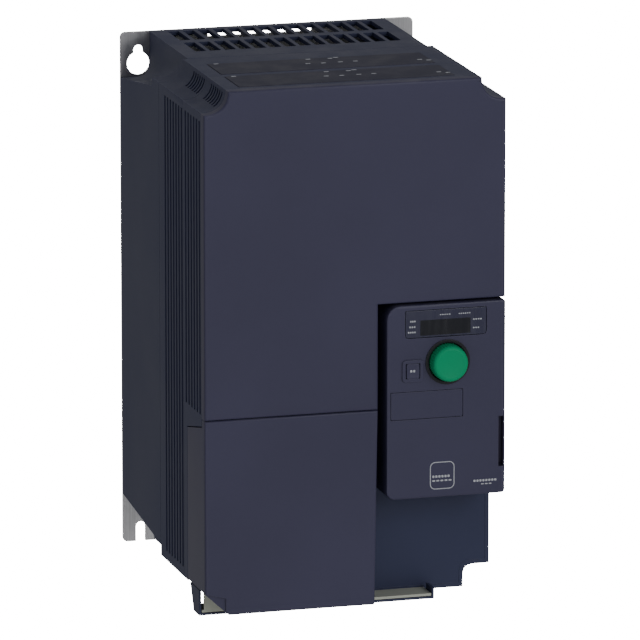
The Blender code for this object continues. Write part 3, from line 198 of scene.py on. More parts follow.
def quarter_round(radius: float, front: float, steps: int = 6) -> np.ndarray:
    """The profile of a rounded edge: from the flat front round to the side.

    Args:
        radius: Radius of the edge.
        front: Rise of the flat front.
        steps: Straight pieces in the arc.

    Returns:
        Rows of (inset, rise), with one row more on the flat so that the flat stays flat when shaded smooth.
    """
    angle = np.linspace(0, math.pi / 2, steps + 1)
    arc = np.stack([radius * (1 - np.sin(angle)), front - radius * (1 - np.cos(angle))], axis=1)
    return np.vstack([[1.6 * radius, front], arc])


# ---------------------------------------------------------------- surfaces


class Surface:
    """Points and faces of one piece, gathered as arrays."""

    def __init__(self) -> None:
        """Starts with nothing in it."""
        self._points: list[np.ndarray] = []
        self._faces: list[list[int]] = []
        self._count = 0

    def grid(self, grid: np.ndarray, closed: tuple[bool, bool] = (False, True), caps: bool = True) -> Surface:
        """Adds a grid of points as four-sided faces.

        Args:
            grid: Points in rows and columns, with three numbers in the last axis.
            closed: Whether the last row joins the first, and the last column the first.
            caps: Whether the first and last rows are filled in.

        Returns:
            This surface.
        """
        rows, columns = grid.shape[:2]
        index = self._count + np.arange(rows * columns).reshape(rows, columns)
        below = np.roll(index, -1, axis=0)
        across = np.roll(index, -1, axis=1)
        opposite = np.roll(below, -1, axis=1)
        faces = np.stack([index, below, opposite, across], axis=-1)
        faces = faces[: rows if closed[0] else rows - 1, : columns if closed[1] else columns - 1]
        self._faces += faces.reshape(-1, 4).tolist()
        if caps:
            self._faces += [index[0].tolist(), index[-1, ::-1].tolist()]
        self._points.append(grid.reshape(-1, 3))
        self._count += rows * columns
        return self

    def sweep(
        self,
        outline: np.ndarray,
        profile: np.ndarray,
        facing: Facing = Facing.FRONT,
        ring: bool = False,
    ) -> Surface:
        """Carries a profile round a closed outline.

        A point is the outline's corner moved inwards along its mitre by the profile's inset, at the profile's rise.

        Args:
            outline: Anticlockwise corners, one per row.
            profile: Rows of (inset, rise), from the front to the back.
            facing: The way the outline's plane looks.
            ring: Whether the profile closes on itself, as on a frame round an opening.

        Returns:
            This surface.
        """
        plane = outline[None] + profile[:, 0, None, None] * mitres(outline)[None]
        rise = np.broadcast_to(profile[:, 1, None], plane.shape[:2])
        return self.grid(in_scene(plane, rise, facing), (ring, True), caps=not ring)

    def polar(self, centre: tuple[float, float], reach: np.ndarray, rise: np.ndarray, steps: int) -> Surface:
        """Adds rings about a line through centre, by each point's reach from it and its rise, from the front back."""
        plane = np.array(centre) + reach[..., None] * circle((0.0, 0.0), 1.0, steps)[None]
        return self.grid(in_scene(plane, np.broadcast_to(rise, plane.shape[:2]), Facing.FRONT))

    def mesh(self, name: str) -> bpy.types.Mesh:
        """A Blender mesh of the points and faces."""
        mesh = bpy.data.meshes.new(name)
        mesh.from_pydata(np.concatenate(self._points).tolist(), [], self._faces)
        mesh.update()
        return mesh


def shade(mesh: bpy.types.Mesh, sharp: float) -> None:
    """Shades a mesh smooth, with edges past that angle in degrees kept sharp."""
    mesh.shade_smooth()
    mesh.set_sharp_from_angle(angle=math.radians(sharp))


def dress(
    name: str,
    shape: Surface | bpy.types.Mesh,
    body: str,
    finish: Finish,
    replaces: Sequence[str] = (),
    sharp: float = 40.0,
) -> bpy.types.Object:
    """Makes a mesh a piece of the drive.

    Args:
        name: The piece's name.
        shape: Its surface or mesh, in scene coordinates.
        body: The frame body it moves with.
        finish: What it is made of.
        replaces: Frame nodes it stands for.
        sharp: Angle in degrees past which an edge stays sharp.

    Returns:
        The piece.
    """
    mesh = shape.mesh(name) if isinstance(shape, Surface) else shape
    shade(mesh, sharp)
    mesh.materials.clear()
    mesh.materials.append(finish.material())
    piece = bpy.data.objects.new(name, mesh)
    bpy.context.scene.collection.objects.link(piece)
    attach(piece, body)
    if replaces:
        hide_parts(*replaces)
    LOG.info("%s: %d faces on %s", name, len(mesh.polygons), body)
    return piece


def body_of(node: str) -> str:
    """The frame body that a node moves with."""
    return frame["nodes"][node]["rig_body"]


def softened(node: str, finish: Finish, edge: float, segments: int = 2) -> bpy.types.Object:
    """Replaces a frame node with a merged copy whose edges are rounded.

    Args:
        node: The frame node.
        finish: What it is made of.
        edge: Radius of its edges.
        segments: Steps in each rounded edge.

    Returns:
        The piece that stands for the node.
    """
    bm = bmesh.new()
    bm.from_mesh(frame["nodes"][node].data)
    bmesh.ops.remove_doubles(bm, verts=bm.verts, dist=TINY)
    mesh = bpy.data.meshes.new(f"{node}_soft")
    bm.to_mesh(mesh)
    bm.free()
    piece = dress(f"{node}_soft", mesh, body_of(node), finish, [node])
    bevel = piece.modifiers.new("edges", "BEVEL")
    bevel.width = edge
    bevel.segments = segments
    bevel.limit_method = "ANGLE"
    bevel.angle_limit = math.radians(40)
    bevel.use_clamp_overlap = True
    bevel.miter_outer = "MITER_ARC"
    weighted = piece.modifiers.new("flat_faces", "WEIGHTED_NORMAL")
    weighted.keep_sharp = True
    return piece


# ---------------------------------------------------------------- shader building


class Wiring:
    """A node tree that is being wired."""

    def __init__(self, tree: bpy.types.NodeTree) -> None:
        """Works on that tree."""
        self.tree = tree

    def add(self, kind: str, inputs: dict[str, object] | None = None, **settings: object) -> bpy.types.Node:
        """Adds a node.

        Args:
            kind: Blender's name for the node's type.
            inputs: Values or output sockets, by the name of the input they go to.
            **settings: The node's own properties.

        Returns:
            The node.
        """
        node = self.tree.nodes.new(kind)
        for key, value in settings.items():
            setattr(node, key, value)
        self.give(node, inputs or {})
        return node

    def give(self, node: bpy.types.Node, inputs: dict[str, object]) -> None:
        """Feeds several inputs of a node, by name."""
        for name, value in inputs.items():
            self.feed(node.inputs[name], value)

    def feed(self, socket: Socket, value: object) -> None:
        """Links an output socket to an input, or sets the input's value."""
        if isinstance(value, Socket):
            self.tree.links.new(value, socket)
        else:
            socket.default_value = value

    def maths(self, operation: str, first: Value, second: Value = 0.0, clamp: bool = False) -> Socket:
        """The result of one sum on two values."""
        node = self.add("ShaderNodeMath", operation=operation, use_clamp=clamp)
        self.feed(node.inputs[0], first)
        self.feed(node.inputs[1], second)
        return node.outputs[0]

    def ramp(self, value: Value, low: float, high: float, start: float = 0.0, end: float = 1.0) -> Socket:
        """Maps low..high onto start..end, smoothly and without going past either."""
        names = ("Value", "From Min", "From Max", "To Min", "To Max")
        inputs = dict(zip(names, (value, low, high, start, end)))
        return self.add("ShaderNodeMapRange", inputs, interpolation_type="SMOOTHSTEP").outputs[0]

    def blend(self, factor: Value, first: object, second: object) -> Socket:
        """The colour between two colours, by a factor from 0 to 1."""
        node = self.add("ShaderNodeMix", data_type="RGBA")
        for index, value in ((0, factor), (6, first), (7, second)):
            self.feed(node.inputs[index], value)
        return node.outputs[2]

    def noise(self, where: Value, scale: Value, detail: float = 2.0, roughness: float = 0.5) -> Socket:
        """A cloudy value from 0 to 1."""
        inputs = {"Vector": where, "Scale": scale, "Detail": detail, "Roughness": roughness}
        return self.add("ShaderNodeTexNoise", inputs).outputs[0]

    def relief(self, shader: bpy.types.Node, height: Value, distance: float, strength: float) -> None:
        """Gives a shader a bump of that height field, at its full distance in metres."""
        inputs = {"Height": height, "Distance": distance, "Strength": strength}
        self.feed(shader.inputs["Normal"], self.add("ShaderNodeBump", inputs).outputs[0])

    def place(self, scale: tuple[float, float, float] = (1.0, 1.0, 1.0)) -> Socket:
        """Object coordinates, stretched by a factor on each axis."""
        point = self.add("ShaderNodeTexCoord").outputs["Object"]
        if scale == (1.0, 1.0, 1.0):
            return point
        return self.add("ShaderNodeMapping", {"Vector": point, "Scale": scale}).outputs[0]


class Effect(Enum):
    """Surface effects that several finishes share, each one shader group."""

    GRAIN = "moulded_grain"
    EDGE_HIGHLIGHT = "painted_edge_highlight"
    # The edge mask lightens colour along edges as a painted highlight.
    DUST = "settled_dust"
    ROLLING = "rolling_lines"


class Effects:
    """Makes each effect's group once and places it in materials."""

    INPUTS = {
        Effect.GRAIN: {"Size": 0.0005},
        Effect.EDGE_HIGHLIGHT: {"Radius": 0.0006},
        Effect.DUST: {"Amount": 0.1},
        Effect.ROLLING: {"Spacing": 0.0006},
    }
    OUTPUTS = {
        Effect.GRAIN: ("Height", "Tone"),
        Effect.EDGE_HIGHLIGHT: ("Mask",),
        Effect.DUST: ("Mask",),
        Effect.ROLLING: ("Height", "Tone"),
    }

    @classmethod
    def place(cls, wiring: Wiring, effect: Effect, **values: Value) -> bpy.types.Node:
        """Places an effect in a material.

        Args:
            wiring: The material's node tree.
            effect: Which effect.
            **values: Its inputs, by name.

        Returns:
            The group node.
        """
        node = wiring.add("ShaderNodeGroup")
        node.node_tree = cls.group(effect)
        wiring.give(node, values)
        return node

    @classmethod
    def group(cls, effect: Effect) -> bpy.types.NodeTree:
        """The effect's node group, built the first time it is asked for."""
        found = bpy.data.node_groups.get(effect.value)
        if found:
            return found
        tree = bpy.data.node_groups.new(effect.value, "ShaderNodeTree")
        for name, default in cls.INPUTS[effect].items():
            socket = tree.interface.new_socket(name, in_out="INPUT", socket_type="NodeSocketFloat")
            socket.default_value = default
        for name in cls.OUTPUTS[effect]:
            tree.interface.new_socket(name, in_out="OUTPUT", socket_type="NodeSocketFloat")
        wiring = Wiring(tree)
        given = wiring.add("NodeGroupInput")
        result = wiring.add("NodeGroupOutput")
        build = {
            Effect.GRAIN: cls._grain,
            Effect.EDGE_HIGHLIGHT: cls._edge_highlight_mask,
            Effect.DUST: cls._dust,
            Effect.ROLLING: cls._rolling,
        }[effect]
        wiring.give(result, build(wiring, given.outputs[0]))
        return tree

    @staticmethod
    def _grain(wiring: Wiring, size: Socket) -> dict[str, Socket]:
        """Spark-eroded mould texture: small rounded bumps over a finer cloud, and a faint large mottle."""
        point = wiring.place()
        scale = wiring.maths("DIVIDE", 1.0, size)
        fine = wiring.noise(point, scale, 3.0, 0.6)
        cells = wiring.add("ShaderNodeTexVoronoi", {"Vector": point, "Scale": scale}, feature="SMOOTH_F1")
        height = wiring.maths("ADD", fine, wiring.maths("MULTIPLY", cells.outputs["Distance"], 0.6))
        broad = wiring.noise(point, 9.0, 3.0, 0.55)
        tone = wiring.maths("ADD", wiring.maths("MULTIPLY", fine, 0.3), wiring.maths("MULTIPLY", broad, 0.7))
        return {"Height": height, "Tone": tone}

    @staticmethod
    def _edge_highlight_mask(wiring: Wiring, radius: Socket) -> dict[str, Socket]:
        """A mask of sharp edges for a painted highlight: how far a rounded normal leans from the true one, broken up
        by a cloud.
        """
        rounded = wiring.add("ShaderNodeBevel", {"Radius": radius}, samples=4).outputs[0]
        true = wiring.add("ShaderNodeNewGeometry").outputs["Normal"]
        product = wiring.add("ShaderNodeVectorMath", operation="DOT_PRODUCT")
        wiring.feed(product.inputs[0], rounded)
        wiring.feed(product.inputs[1], true)
        lean = wiring.maths("SUBTRACT", 1.0, product.outputs["Value"])
        cloud = wiring.ramp(wiring.noise(wiring.place(), 140.0, 3.0, 0.6), 0.3, 0.7, 0.55, 1.0)
        return {"Mask": wiring.maths("MULTIPLY", wiring.ramp(lean, 0.01, 0.22), cloud)}

    @staticmethod
    def _dust(wiring: Wiring, amount: Socket) -> dict[str, Socket]:
        """A mask of fine dust: upward faces, in patches."""
        normal = wiring.add("ShaderNodeNewGeometry").outputs["Normal"]
        upwards = wiring.add("ShaderNodeSeparateXYZ", {"Vector": normal}).outputs["Z"]
        facing = wiring.ramp(upwards, 0.3, 1.0)
        patches = wiring.ramp(wiring.noise(wiring.place(), 60.0, 4.0, 0.65), 0.35, 0.75)
        return {"Mask": wiring.maths("MULTIPLY", wiring.maths("MULTIPLY", facing, patches), amount, clamp=True)}

    @staticmethod
    def _rolling(wiring: Wiring, spacing: Socket) -> dict[str, Socket]:
        """Lines of rolled or drawn metal: a cloud stretched along Z, over a broad mottle."""
        scale = wiring.maths("DIVIDE", 1.0, spacing)
        lines = wiring.noise(wiring.place((1.0, 1.0, 0.02)), scale, 3.0, 0.6)
        broad = wiring.noise(wiring.place(), 45.0, 4.0, 0.6)
        tone = wiring.maths("ADD", wiring.maths("MULTIPLY", lines, 0.45), wiring.maths("MULTIPLY", broad, 0.55))
        return {"Height": lines, "Tone": tone}


# ---------------------------------------------------------------- finishes


@dataclass(frozen=True)
class Finish:
    """A material with a name and the record's slot that it stands for."""

    name: str
    slot: str | None
    colour: Colour

    def material(self) -> bpy.types.Material:
        """The finish's material, made the first time it is asked for."""
        found = bpy.data.materials.get(self.name)
        if found:
            return found
        material = bpy.data.materials.new(self.name)
        material.use_nodes = True
        wiring = Wiring(material.node_tree)
        self.wire(wiring, material.node_tree.nodes["Principled BSDF"])
        return material

    def wire(self, wiring: Wiring, shader: bpy.types.Node) -> None:
        """Connects the finish's colours and relief to the shader."""
        raise NotImplementedError

    def tint(self, factor: float, lift: float = 0.0) -> tuple[float, float, float, float]:
        """The colour times a factor, with a little white added."""
        return (*(min(1.0, factor * c + lift) for c in self.colour), 1.0)


@dataclass(frozen=True)
class MouldedPlastic(Finish):
    """Injection-moulded plastic: fine grain, a painted highlight along the edges and a trace of dust."""

    roughness: float = 0.45
    sheen: float = 0.35
    grain: float = 0.0006
    relief: float = 0.00003
    highlight_lift: float = 0.10
    dust: float = 0.10

    def wire(self, wiring: Wiring, shader: bpy.types.Node) -> None:
        """Grain drives tone, roughness and bump; edges are lighter as a painted highlight, dust paler."""
        grain = Effects.place(wiring, Effect.GRAIN, Size=self.grain)
        edges = Effects.place(wiring, Effect.EDGE_HIGHLIGHT, Radius=0.0007)
        dust = Effects.place(wiring, Effect.DUST, Amount=self.dust)
        body = wiring.blend(wiring.ramp(grain.outputs["Tone"], 0.3, 0.7), self.tint(0.93), self.tint(1.07))
        # Painted highlight: edge colour lifted towards a lighter tint.
        highlit_edges = wiring.blend(edges.outputs["Mask"], body, self.tint(1.25, self.highlight_lift * 0.4))
        dusted = wiring.blend(dust.outputs["Mask"], highlit_edges, (0.30, 0.29, 0.28, 1.0))
        rough = wiring.ramp(grain.outputs["Tone"], 0.3, 0.7, self.roughness - 0.04, self.roughness + 0.05)
        wiring.give(shader, {"Base Color": dusted, "Roughness": rough, "Specular IOR Level": self.sheen})
        wiring.relief(shader, grain.outputs["Height"], self.relief, 0.5)


@dataclass(frozen=True)
class SheetMetal(Finish):
    """Plated or bare metal with rolling lines and a mottled sheen."""

    roughness: float = 0.35
    spacing: float = 0.0006
    relief: float = 0.00001
    stain: float = 0.75

    def wire(self, wiring: Wiring, shader: bpy.types.Node) -> None:
        """Lines drive the bump and the sheen; a broad mottle darkens the plating; edges are lighter as a painted
        highlight.
        """
        lines = Effects.place(wiring, Effect.ROLLING, Spacing=self.spacing)
        edges = Effects.place(wiring, Effect.EDGE_HIGHLIGHT, Radius=0.0004)
        tone = wiring.ramp(lines.outputs["Tone"], 0.35, 0.65)
        body = wiring.blend(tone, self.tint(self.stain), self.tint(1.0))
        # Painted highlight: edge colour lifted towards a lighter tint.
        highlit_edges = wiring.blend(edges.outputs["Mask"], body, self.tint(1.15))
        rough = wiring.ramp(tone, 0.0, 1.0, self.roughness + 0.08, self.roughness - 0.06)
        wiring.give(shader, {"Base Color": highlit_edges, "Roughness": rough, "Metallic": 1.0})
        wiring.relief(shader, lines.outputs["Height"], self.relief, 0.6)


@dataclass(frozen=True)
class CircuitLaminate(Finish):
    """A circuit board: tracks under green solder mask, and rows of tinned pads."""

    track: Colour = (0.035, 0.26, 0.10)
    pad: Colour = (0.55, 0.55, 0.50)
    pitch: float = 0.0026
    copper: float = 0.00004

    def wire(self, wiring: Wiring, shader: bpy.types.Node) -> None:
        """Cell edges give the tracks and small dots give the pads."""
        point = wiring.place()
        wide = {"Vector": point, "Scale": 1 / (2.6 * self.pitch)}
        cells = wiring.add("ShaderNodeTexVoronoi", wide, feature="DISTANCE_TO_EDGE")
        tracks = wiring.ramp(cells.outputs["Distance"], 0.05, 0.09, 1.0, 0.0)
        dots = wiring.add("ShaderNodeTexVoronoi", {"Vector": point, "Scale": 1 / self.pitch, "Randomness": 0.15})
        sparse = wiring.ramp(wiring.noise(point, 60.0, 1.0), 0.54, 0.58)
        pads = wiring.maths("MULTIPLY", wiring.ramp(dots.outputs["Distance"], 0.16, 0.22, 1.0, 0.0), sparse)
        mask = wiring.blend(tracks, self.tint(1.0), (*self.track, 1.0))
        colour, metal = wiring.blend(pads, mask, (*self.pad, 1.0)), wiring.maths("MULTIPLY", pads, 0.9)
        rough = wiring.ramp(pads, 0.0, 1.0, 0.38, 0.25)
        wiring.give(shader, {"Base Color": colour, "Metallic": metal, "Roughness": rough})
        wiring.relief(shader, tracks, self.copper, 0.6)


@dataclass(frozen=True)
class GlossFilm(Finish):
    """A glossy film or smoked pane with faint wipe marks."""

    roughness: float = 0.12

    def wire(self, wiring: Wiring, shader: bpy.types.Node) -> None:
        """Stretched clouds vary the sheen, a broad cloud the tone."""
        wipes = wiring.noise(wiring.place((1.0, 1.0, 0.15)), 220.0, 3.0, 0.6)
        broad = wiring.noise(wiring.place(), 30.0, 2.0, 0.5)
        colour = wiring.blend(broad, self.tint(0.92), self.tint(1.08))
        rough = wiring.ramp(wipes, 0.35, 0.7, self.roughness, self.roughness + 0.14)
        wiring.give(shader, {"Base Color": colour, "Roughness": rough})


@dataclass(frozen=True)
class PrintedInk(Finish):
    """Pale ink that is a little thin in places."""

    def wire(self, wiring: Wiring, shader: bpy.types.Node) -> None:
        """A fine cloud thins the ink."""
        thin = wiring.ramp(wiring.noise(wiring.place(), 1800.0, 2.0, 0.6), 0.35, 0.65)
        colour = wiring.blend(thin, self.tint(0.72), self.tint(1.0))
        wiring.give(shader, {"Base Color": colour, "Roughness": wiring.ramp(thin, 0.0, 1.0, 0.6, 0.5)})


@dataclass(frozen=True)
class EnamelledWire(Finish):
    """Varnished copper winding with darker grooves between the turns."""

    def wire(self, wiring: Wiring, shader: bpy.types.Node) -> None:
        """A cloud varies the varnish."""
        varnish = wiring.ramp(wiring.noise(wiring.place(), 400.0, 3.0, 0.6), 0.3, 0.7)
        colour = wiring.blend(varnish, self.tint(0.6), self.tint(1.1))
        rough = wiring.ramp(varnish, 0.0, 1.0, 0.42, 0.28)
        wiring.give(shader, {"Base Color": colour, "Roughness": rough, "Metallic": 0.8})


@dataclass(frozen=True)
class StudioPaint(Finish):
    """The floor's matt paint, which looks white whatever light falls on it."""

    glow: float = 20.0

    def wire(self, wiring: Wiring, shader: bpy.types.Node) -> None:
        """A very faint cloud keeps the paint from being flat."""
        cloud = wiring.noise(wiring.place(), 1.5, 2.0, 0.5)
        wiring.feed(shader.inputs["Base Color"], wiring.blend(cloud, self.tint(0.99), self.tint(1.0)))
        shader.inputs["Roughness"].default_value = 0.9
        shader.inputs["Emission Color"].default_value = (1.0, 1.0, 1.0, 1.0)
        seen = wiring.add("ShaderNodeLightPath").outputs["Is Camera Ray"]
        wiring.feed(shader.inputs["Emission Strength"], wiring.maths("MULTIPLY", seen, self.glow))


COVER = MouldedPlastic("moulded_cover", "cover_plastic", (0.0405, 0.0395, 0.083))
CASE = MouldedPlastic("moulded_case", "case_plastic", (0.027, 0.033, 0.078), roughness=0.5, sheen=0.30)
PANEL = MouldedPlastic("moulded_panel", "panel_plastic", (0.0405, 0.0395, 0.083), grain=0.0004)
BLACK = MouldedPlastic("moulded_black", "black_plastic", (0.010, 0.011, 0.014), roughness=0.5)
STRIP = MouldedPlastic("moulded_strip", "black_plastic", (0.017, 0.018, 0.044), roughness=0.55)
RING = MouldedPlastic("moulded_rim", "black_plastic", (0.006, 0.007, 0.011), roughness=0.4)
TERMINAL = MouldedPlastic("moulded_terminal", "terminal_grey", (0.16, 0.18, 0.17), roughness=0.5)
GLAND = MouldedPlastic("moulded_gland", "gland_grey", (0.44, 0.46, 0.39), roughness=0.55, dust=0.25)
DIAL = MouldedPlastic("moulded_dial", "dial_green", (0.0, 0.31, 0.135), 0.5, sheen=0.2, highlight_lift=0.2, dust=0.0)
STEEL = SheetMetal("zinc_sheet", "plated_steel", (0.62, 0.62, 0.64))
ALUMINIUM = SheetMetal("drawn_aluminium", "raw_aluminium", (0.70, 0.70, 0.72), roughness=0.4)
# Heatsink aluminium darkened to paint the shade seen in the grille cells in front of it.
SHADE_DARK_SINK = SheetMetal("shade_darkened_aluminium", "raw_aluminium", (0.26, 0.26, 0.28), roughness=0.55)
BOARD = CircuitLaminate("board_laminate", "board_green", (0.02, 0.16, 0.07))
FILM = GlossFilm("window_film", "smoked_window", (0.028, 0.029, 0.062), roughness=0.25)
PANE = GlossFilm("display_pane", "smoked_window", (0.010, 0.011, 0.017), roughness=0.15)
INK = PrintedInk("pale_ink", None, (0.55, 0.57, 0.62))
WIRE = EnamelledWire("enamelled_wire", "copper_wire", (0.60, 0.26, 0.10))
FLOOR = StudioPaint("floor_paint", None, (0.92, 0.92, 0.92))


# ---------------------------------------------------------------- the case


@dataclass
class CaseBody:
    """Shroud, housing, frame and plate: frame nodes with moulded edges."""

    edge: float = 0.00035
    sheet_edge: float = 0.00025

    def build(self) -> None:
        """Makes every piece of the case behind the covers."""
        for node in ("rear_shroud", "main_housing", "front_frame"):
            softened(node, CASE, self.edge)
        softened("mounting_plate", STEEL, self.sheet_edge)
        softened("lower_front_cover", COVER, self.edge)
        softened("cable_tray", CASE, self.edge)
        softened("gland_plate", GLAND, self.sheet_edge)


@dataclass
class UpperCover:
    """The large front cover: a shell with a rounded front edge and a tongue beside the panel."""

    edge: float = 0.0014
    wall: float = 0.0025
    bite: tuple[float, float] = (0.0145, 0.0130)
    squareness: float = 2.3
    bite_steps: int = 16
    panel_gap: float = 0.0014

    def outline(self) -> np.ndarray:
        """The cover seen from the front: square steps beside the panel, scooped corners at the top."""
        cover = Extent.of("upper_front_cover")
        bay_left = Extent.of("lower_front_cover").right
        bay_top = Extent.of("panel_shell").top + self.panel_gap
        corners = [(cover.left, cover.bottom), (bay_left, cover.bottom), (bay_left, bay_top), (cover.right, bay_top)]
        right = self.scoop(cover)
        left = right[::-1] * np.array([-1, 1]) + np.array([cover.left + cover.right, 0])
        return np.vstack([corners, right, left])

    def scoop(self, cover: Extent) -> np.ndarray:
        """The right corner's hollow: a superellipse about the outer corner, from the side to the top."""
        angle = np.linspace(math.pi / 2, 0, self.bite_steps + 1)
        power = 2 / self.squareness
        across = self.bite[0] * np.cos(angle).clip(0) ** power
        down = self.bite[1] * np.sin(angle).clip(0) ** power
        return np.stack([cover.right - across, cover.top - down], axis=1)

    def build(self) -> None:
        """Carries the shell's profile round the outline: front edge, outside, rim, inside."""
        cover = Extent.of("upper_front_cover")
        inside = cover.front - self.wall
        rim = [(0.0, cover.back), (self.wall, cover.back), (self.wall, inside), (2 * self.wall, inside)]
        profile = np.vstack([quarter_round(self.edge, cover.front), rim])
        shell = Surface().sweep(self.outline(), profile)
        dress("upper_cover_shell", shell, "drive", COVER, ["upper_front_cover"])


@dataclass
class TopStrips:
    """The two dark strips let into the top, with their moulded dashes."""

    edge: float = 0.0002
    corner: float = 0.0006
    dash_rise: float = 0.00008
    dash_size: tuple[float, float] = (0.0030, 0.0012)
    dashes: tuple[tuple[float, float], ...] = (
        (0.0050, 0.0010),
        (0.0598, 0.0023),
        (0.0563, 0.0147),
        (0.0654, 0.0153),
        (0.0729, 0.0031),
        (0.0767, 0.0015),
        (0.0757, 0.0149),
        (0.0847, 0.0150),
        (0.1219, 0.0206),
        (0.1265, 0.0236),
    )

    def build(self) -> None:
        """Makes both strips and the dashes on them, which are given across and forwards from a strip's corner."""
        for node in ("vent_strip_rear", "vent_strip_front"):
            strip = Extent.of(node)
            outline = fillet(rectangle(strip.left, strip.right, -strip.front, -strip.back), self.corner)
            profile = np.vstack([quarter_round(self.edge, strip.top, 3), [(0.0, strip.bottom)]])
            surface = Surface().sweep(outline, profile, Facing.TOP)
            dress(f"{node}_moulded", surface, "drive", STRIP, [node])
            dashes = Surface()
            for across, forwards in self.dashes:
                x, y = strip.left + across, -(strip.back + forwards)
                long, wide = (side / 2 for side in self.dash_size)
                oval = fillet(rectangle(x - long, x + long, y - wide, y + wide), 0.9 * wide, 4)
                levels = [(0.3 * self.dash_rise, self.dash_rise), (0.0, 0.6 * self.dash_rise), (0.0, -self.dash_rise)]
                dashes.sweep(oval, np.array(levels) + np.array([0.0, strip.top]), Facing.TOP)
            dress(f"{node}_dashes", dashes, "drive", INK)


# ---------------------------------------------------------------- the control panel


@dataclass
class ControlPanel:
    """The plug-in keypad: shell, window, display pane, label insert and printed marks."""

    edge: float = 0.0003
    window_edge: float = 0.0003
    window_corners: tuple[float, float, float, float] = (0.0017, 0.0017, 0.0007, 0.0007)
    pane_margin: tuple[float, float, float, float] = (0.0088, 0.0095, 0.0011, 0.0058)
    pane_rise: float = 0.00008
    pane_edge: float = 0.0001
    pane_corner: float = 0.0004
    label_corner: float = 0.0008
    trim_edge: float = 0.00025
    key_gap: float = 0.0004
    dial_gap: float = 0.0005

    def build(self) -> None:
        """Makes every piece of the panel's face."""
        softened("panel_shell", PANEL, self.edge)
        self.window()
        self.label()
        self.bezel()
        self.ring()

    def window(self) -> None:
        """The film over the display and the darker pane in it."""
        window = Extent.of("display_window")
        outline = fillet(window.face(), self.window_corners)
        profile = np.vstack([quarter_round(self.window_edge, window.front, 3), [(0.0, window.back)]])
        film = Surface().sweep(outline, profile)
        dress("window_film", film, "control_panel", FILM, ["display_window"])
        left, right, bottom, top = self.pane_margin
        inner = rectangle(window.left + left, window.right - right, window.bottom + bottom, window.top - top)
        rise = window.front + self.pane_rise
        edge = self.pane_edge
        profile = np.array([(3 * edge, rise), (edge, rise), (0.0, rise - edge), (0.0, window.front - 2 * edge)])
        pane = Surface().sweep(fillet(inner, self.pane_corner, 3), profile)
        dress("display_pane", pane, "control_panel", PANE)

    def label(self) -> None:
        """The blank write-on insert, its edges eased."""
        label = Extent.of("label_insert")
        outline = fillet(label.face(), self.label_corner)
        profile = np.vstack([quarter_round(self.trim_edge, label.front, 3), [(0.0, label.back)]])
        plate = Surface().sweep(outline, profile)
        dress("label_plate", plate, "control_panel", PANEL, ["label_insert"])

    def bezel(self) -> None:
        """The raised frame round the escape key, one closed profile round a rounded square."""
        bezel, key = Extent.of("key_bezel"), Extent.of("escape_key")
        width = (bezel.width - key.width) / 2 - self.key_gap
        outline = fillet(bezel.face(), width + self.key_gap / 2)
        profile = ring_profile(width, bezel.back, bezel.front, self.trim_edge)
        frame_round_key = Surface().sweep(outline, profile, ring=True)
        dress("key_frame", frame_round_key, "control_panel", PANEL, ["key_bezel"])

    def ring(self) -> None:
        """The dark rim round the dial."""
        rim, dial = Extent.of("dial_ring"), Extent.of("jog_dial")
        outline = circle(rim.middle, rim.width / 2, 96)
        width = (rim.width - dial.width) / 2 - self.dial_gap
        profile = ring_profile(width, rim.back, rim.front, self.trim_edge)
        surface = Surface().sweep(outline, profile, ring=True)
        dress("dial_rim", surface, "control_panel", RING, ["dial_ring"])


def ring_profile(width: float, back: float, front: float, edge: float) -> np.ndarray:
    """A closed profile of (inset, rise) with both front edges rounded, going from the outside front inwards.

    Args:
        width: From the outer side to the inner one.
        back: Rise of the flat back.
        front: Rise of the flat front.
        edge: Radius of both front edges.

    Returns:
        The profile, with the outer side last.
    """
    outer = quarter_round(edge, front, 4)[::-1]
    inner = quarter_round(edge, front, 4)
    inner[:, 0] = width - inner[:, 0]
    loop = np.vstack([[(0.0, back)], outer, inner, [(width, back)]])
    return loop[::-1]


@dataclass(frozen=True)
class Ticks:
    """A row of small printed ticks that stands where a word would: left, right, height and size of a tick."""

    left: float
    right: float
    height: float
    tall: float = 0.0010
    pitch: float = 0.0013
    share: float = 0.72

    def outlines(self) -> list[np.ndarray]:
        """One rounded outline for each tick."""
        count = max(1, round((self.right - self.left) / self.pitch))
        starts = np.linspace(self.left, self.right, count, endpoint=False)
        width = self.share * (self.right - self.left) / count
        low, high = self.height - self.tall / 2, self.height + self.tall / 2
        corner = 0.3 * min(width, self.tall)
        return [fillet(rectangle(start, start + width, low, high), corner, 3) for start in starts]


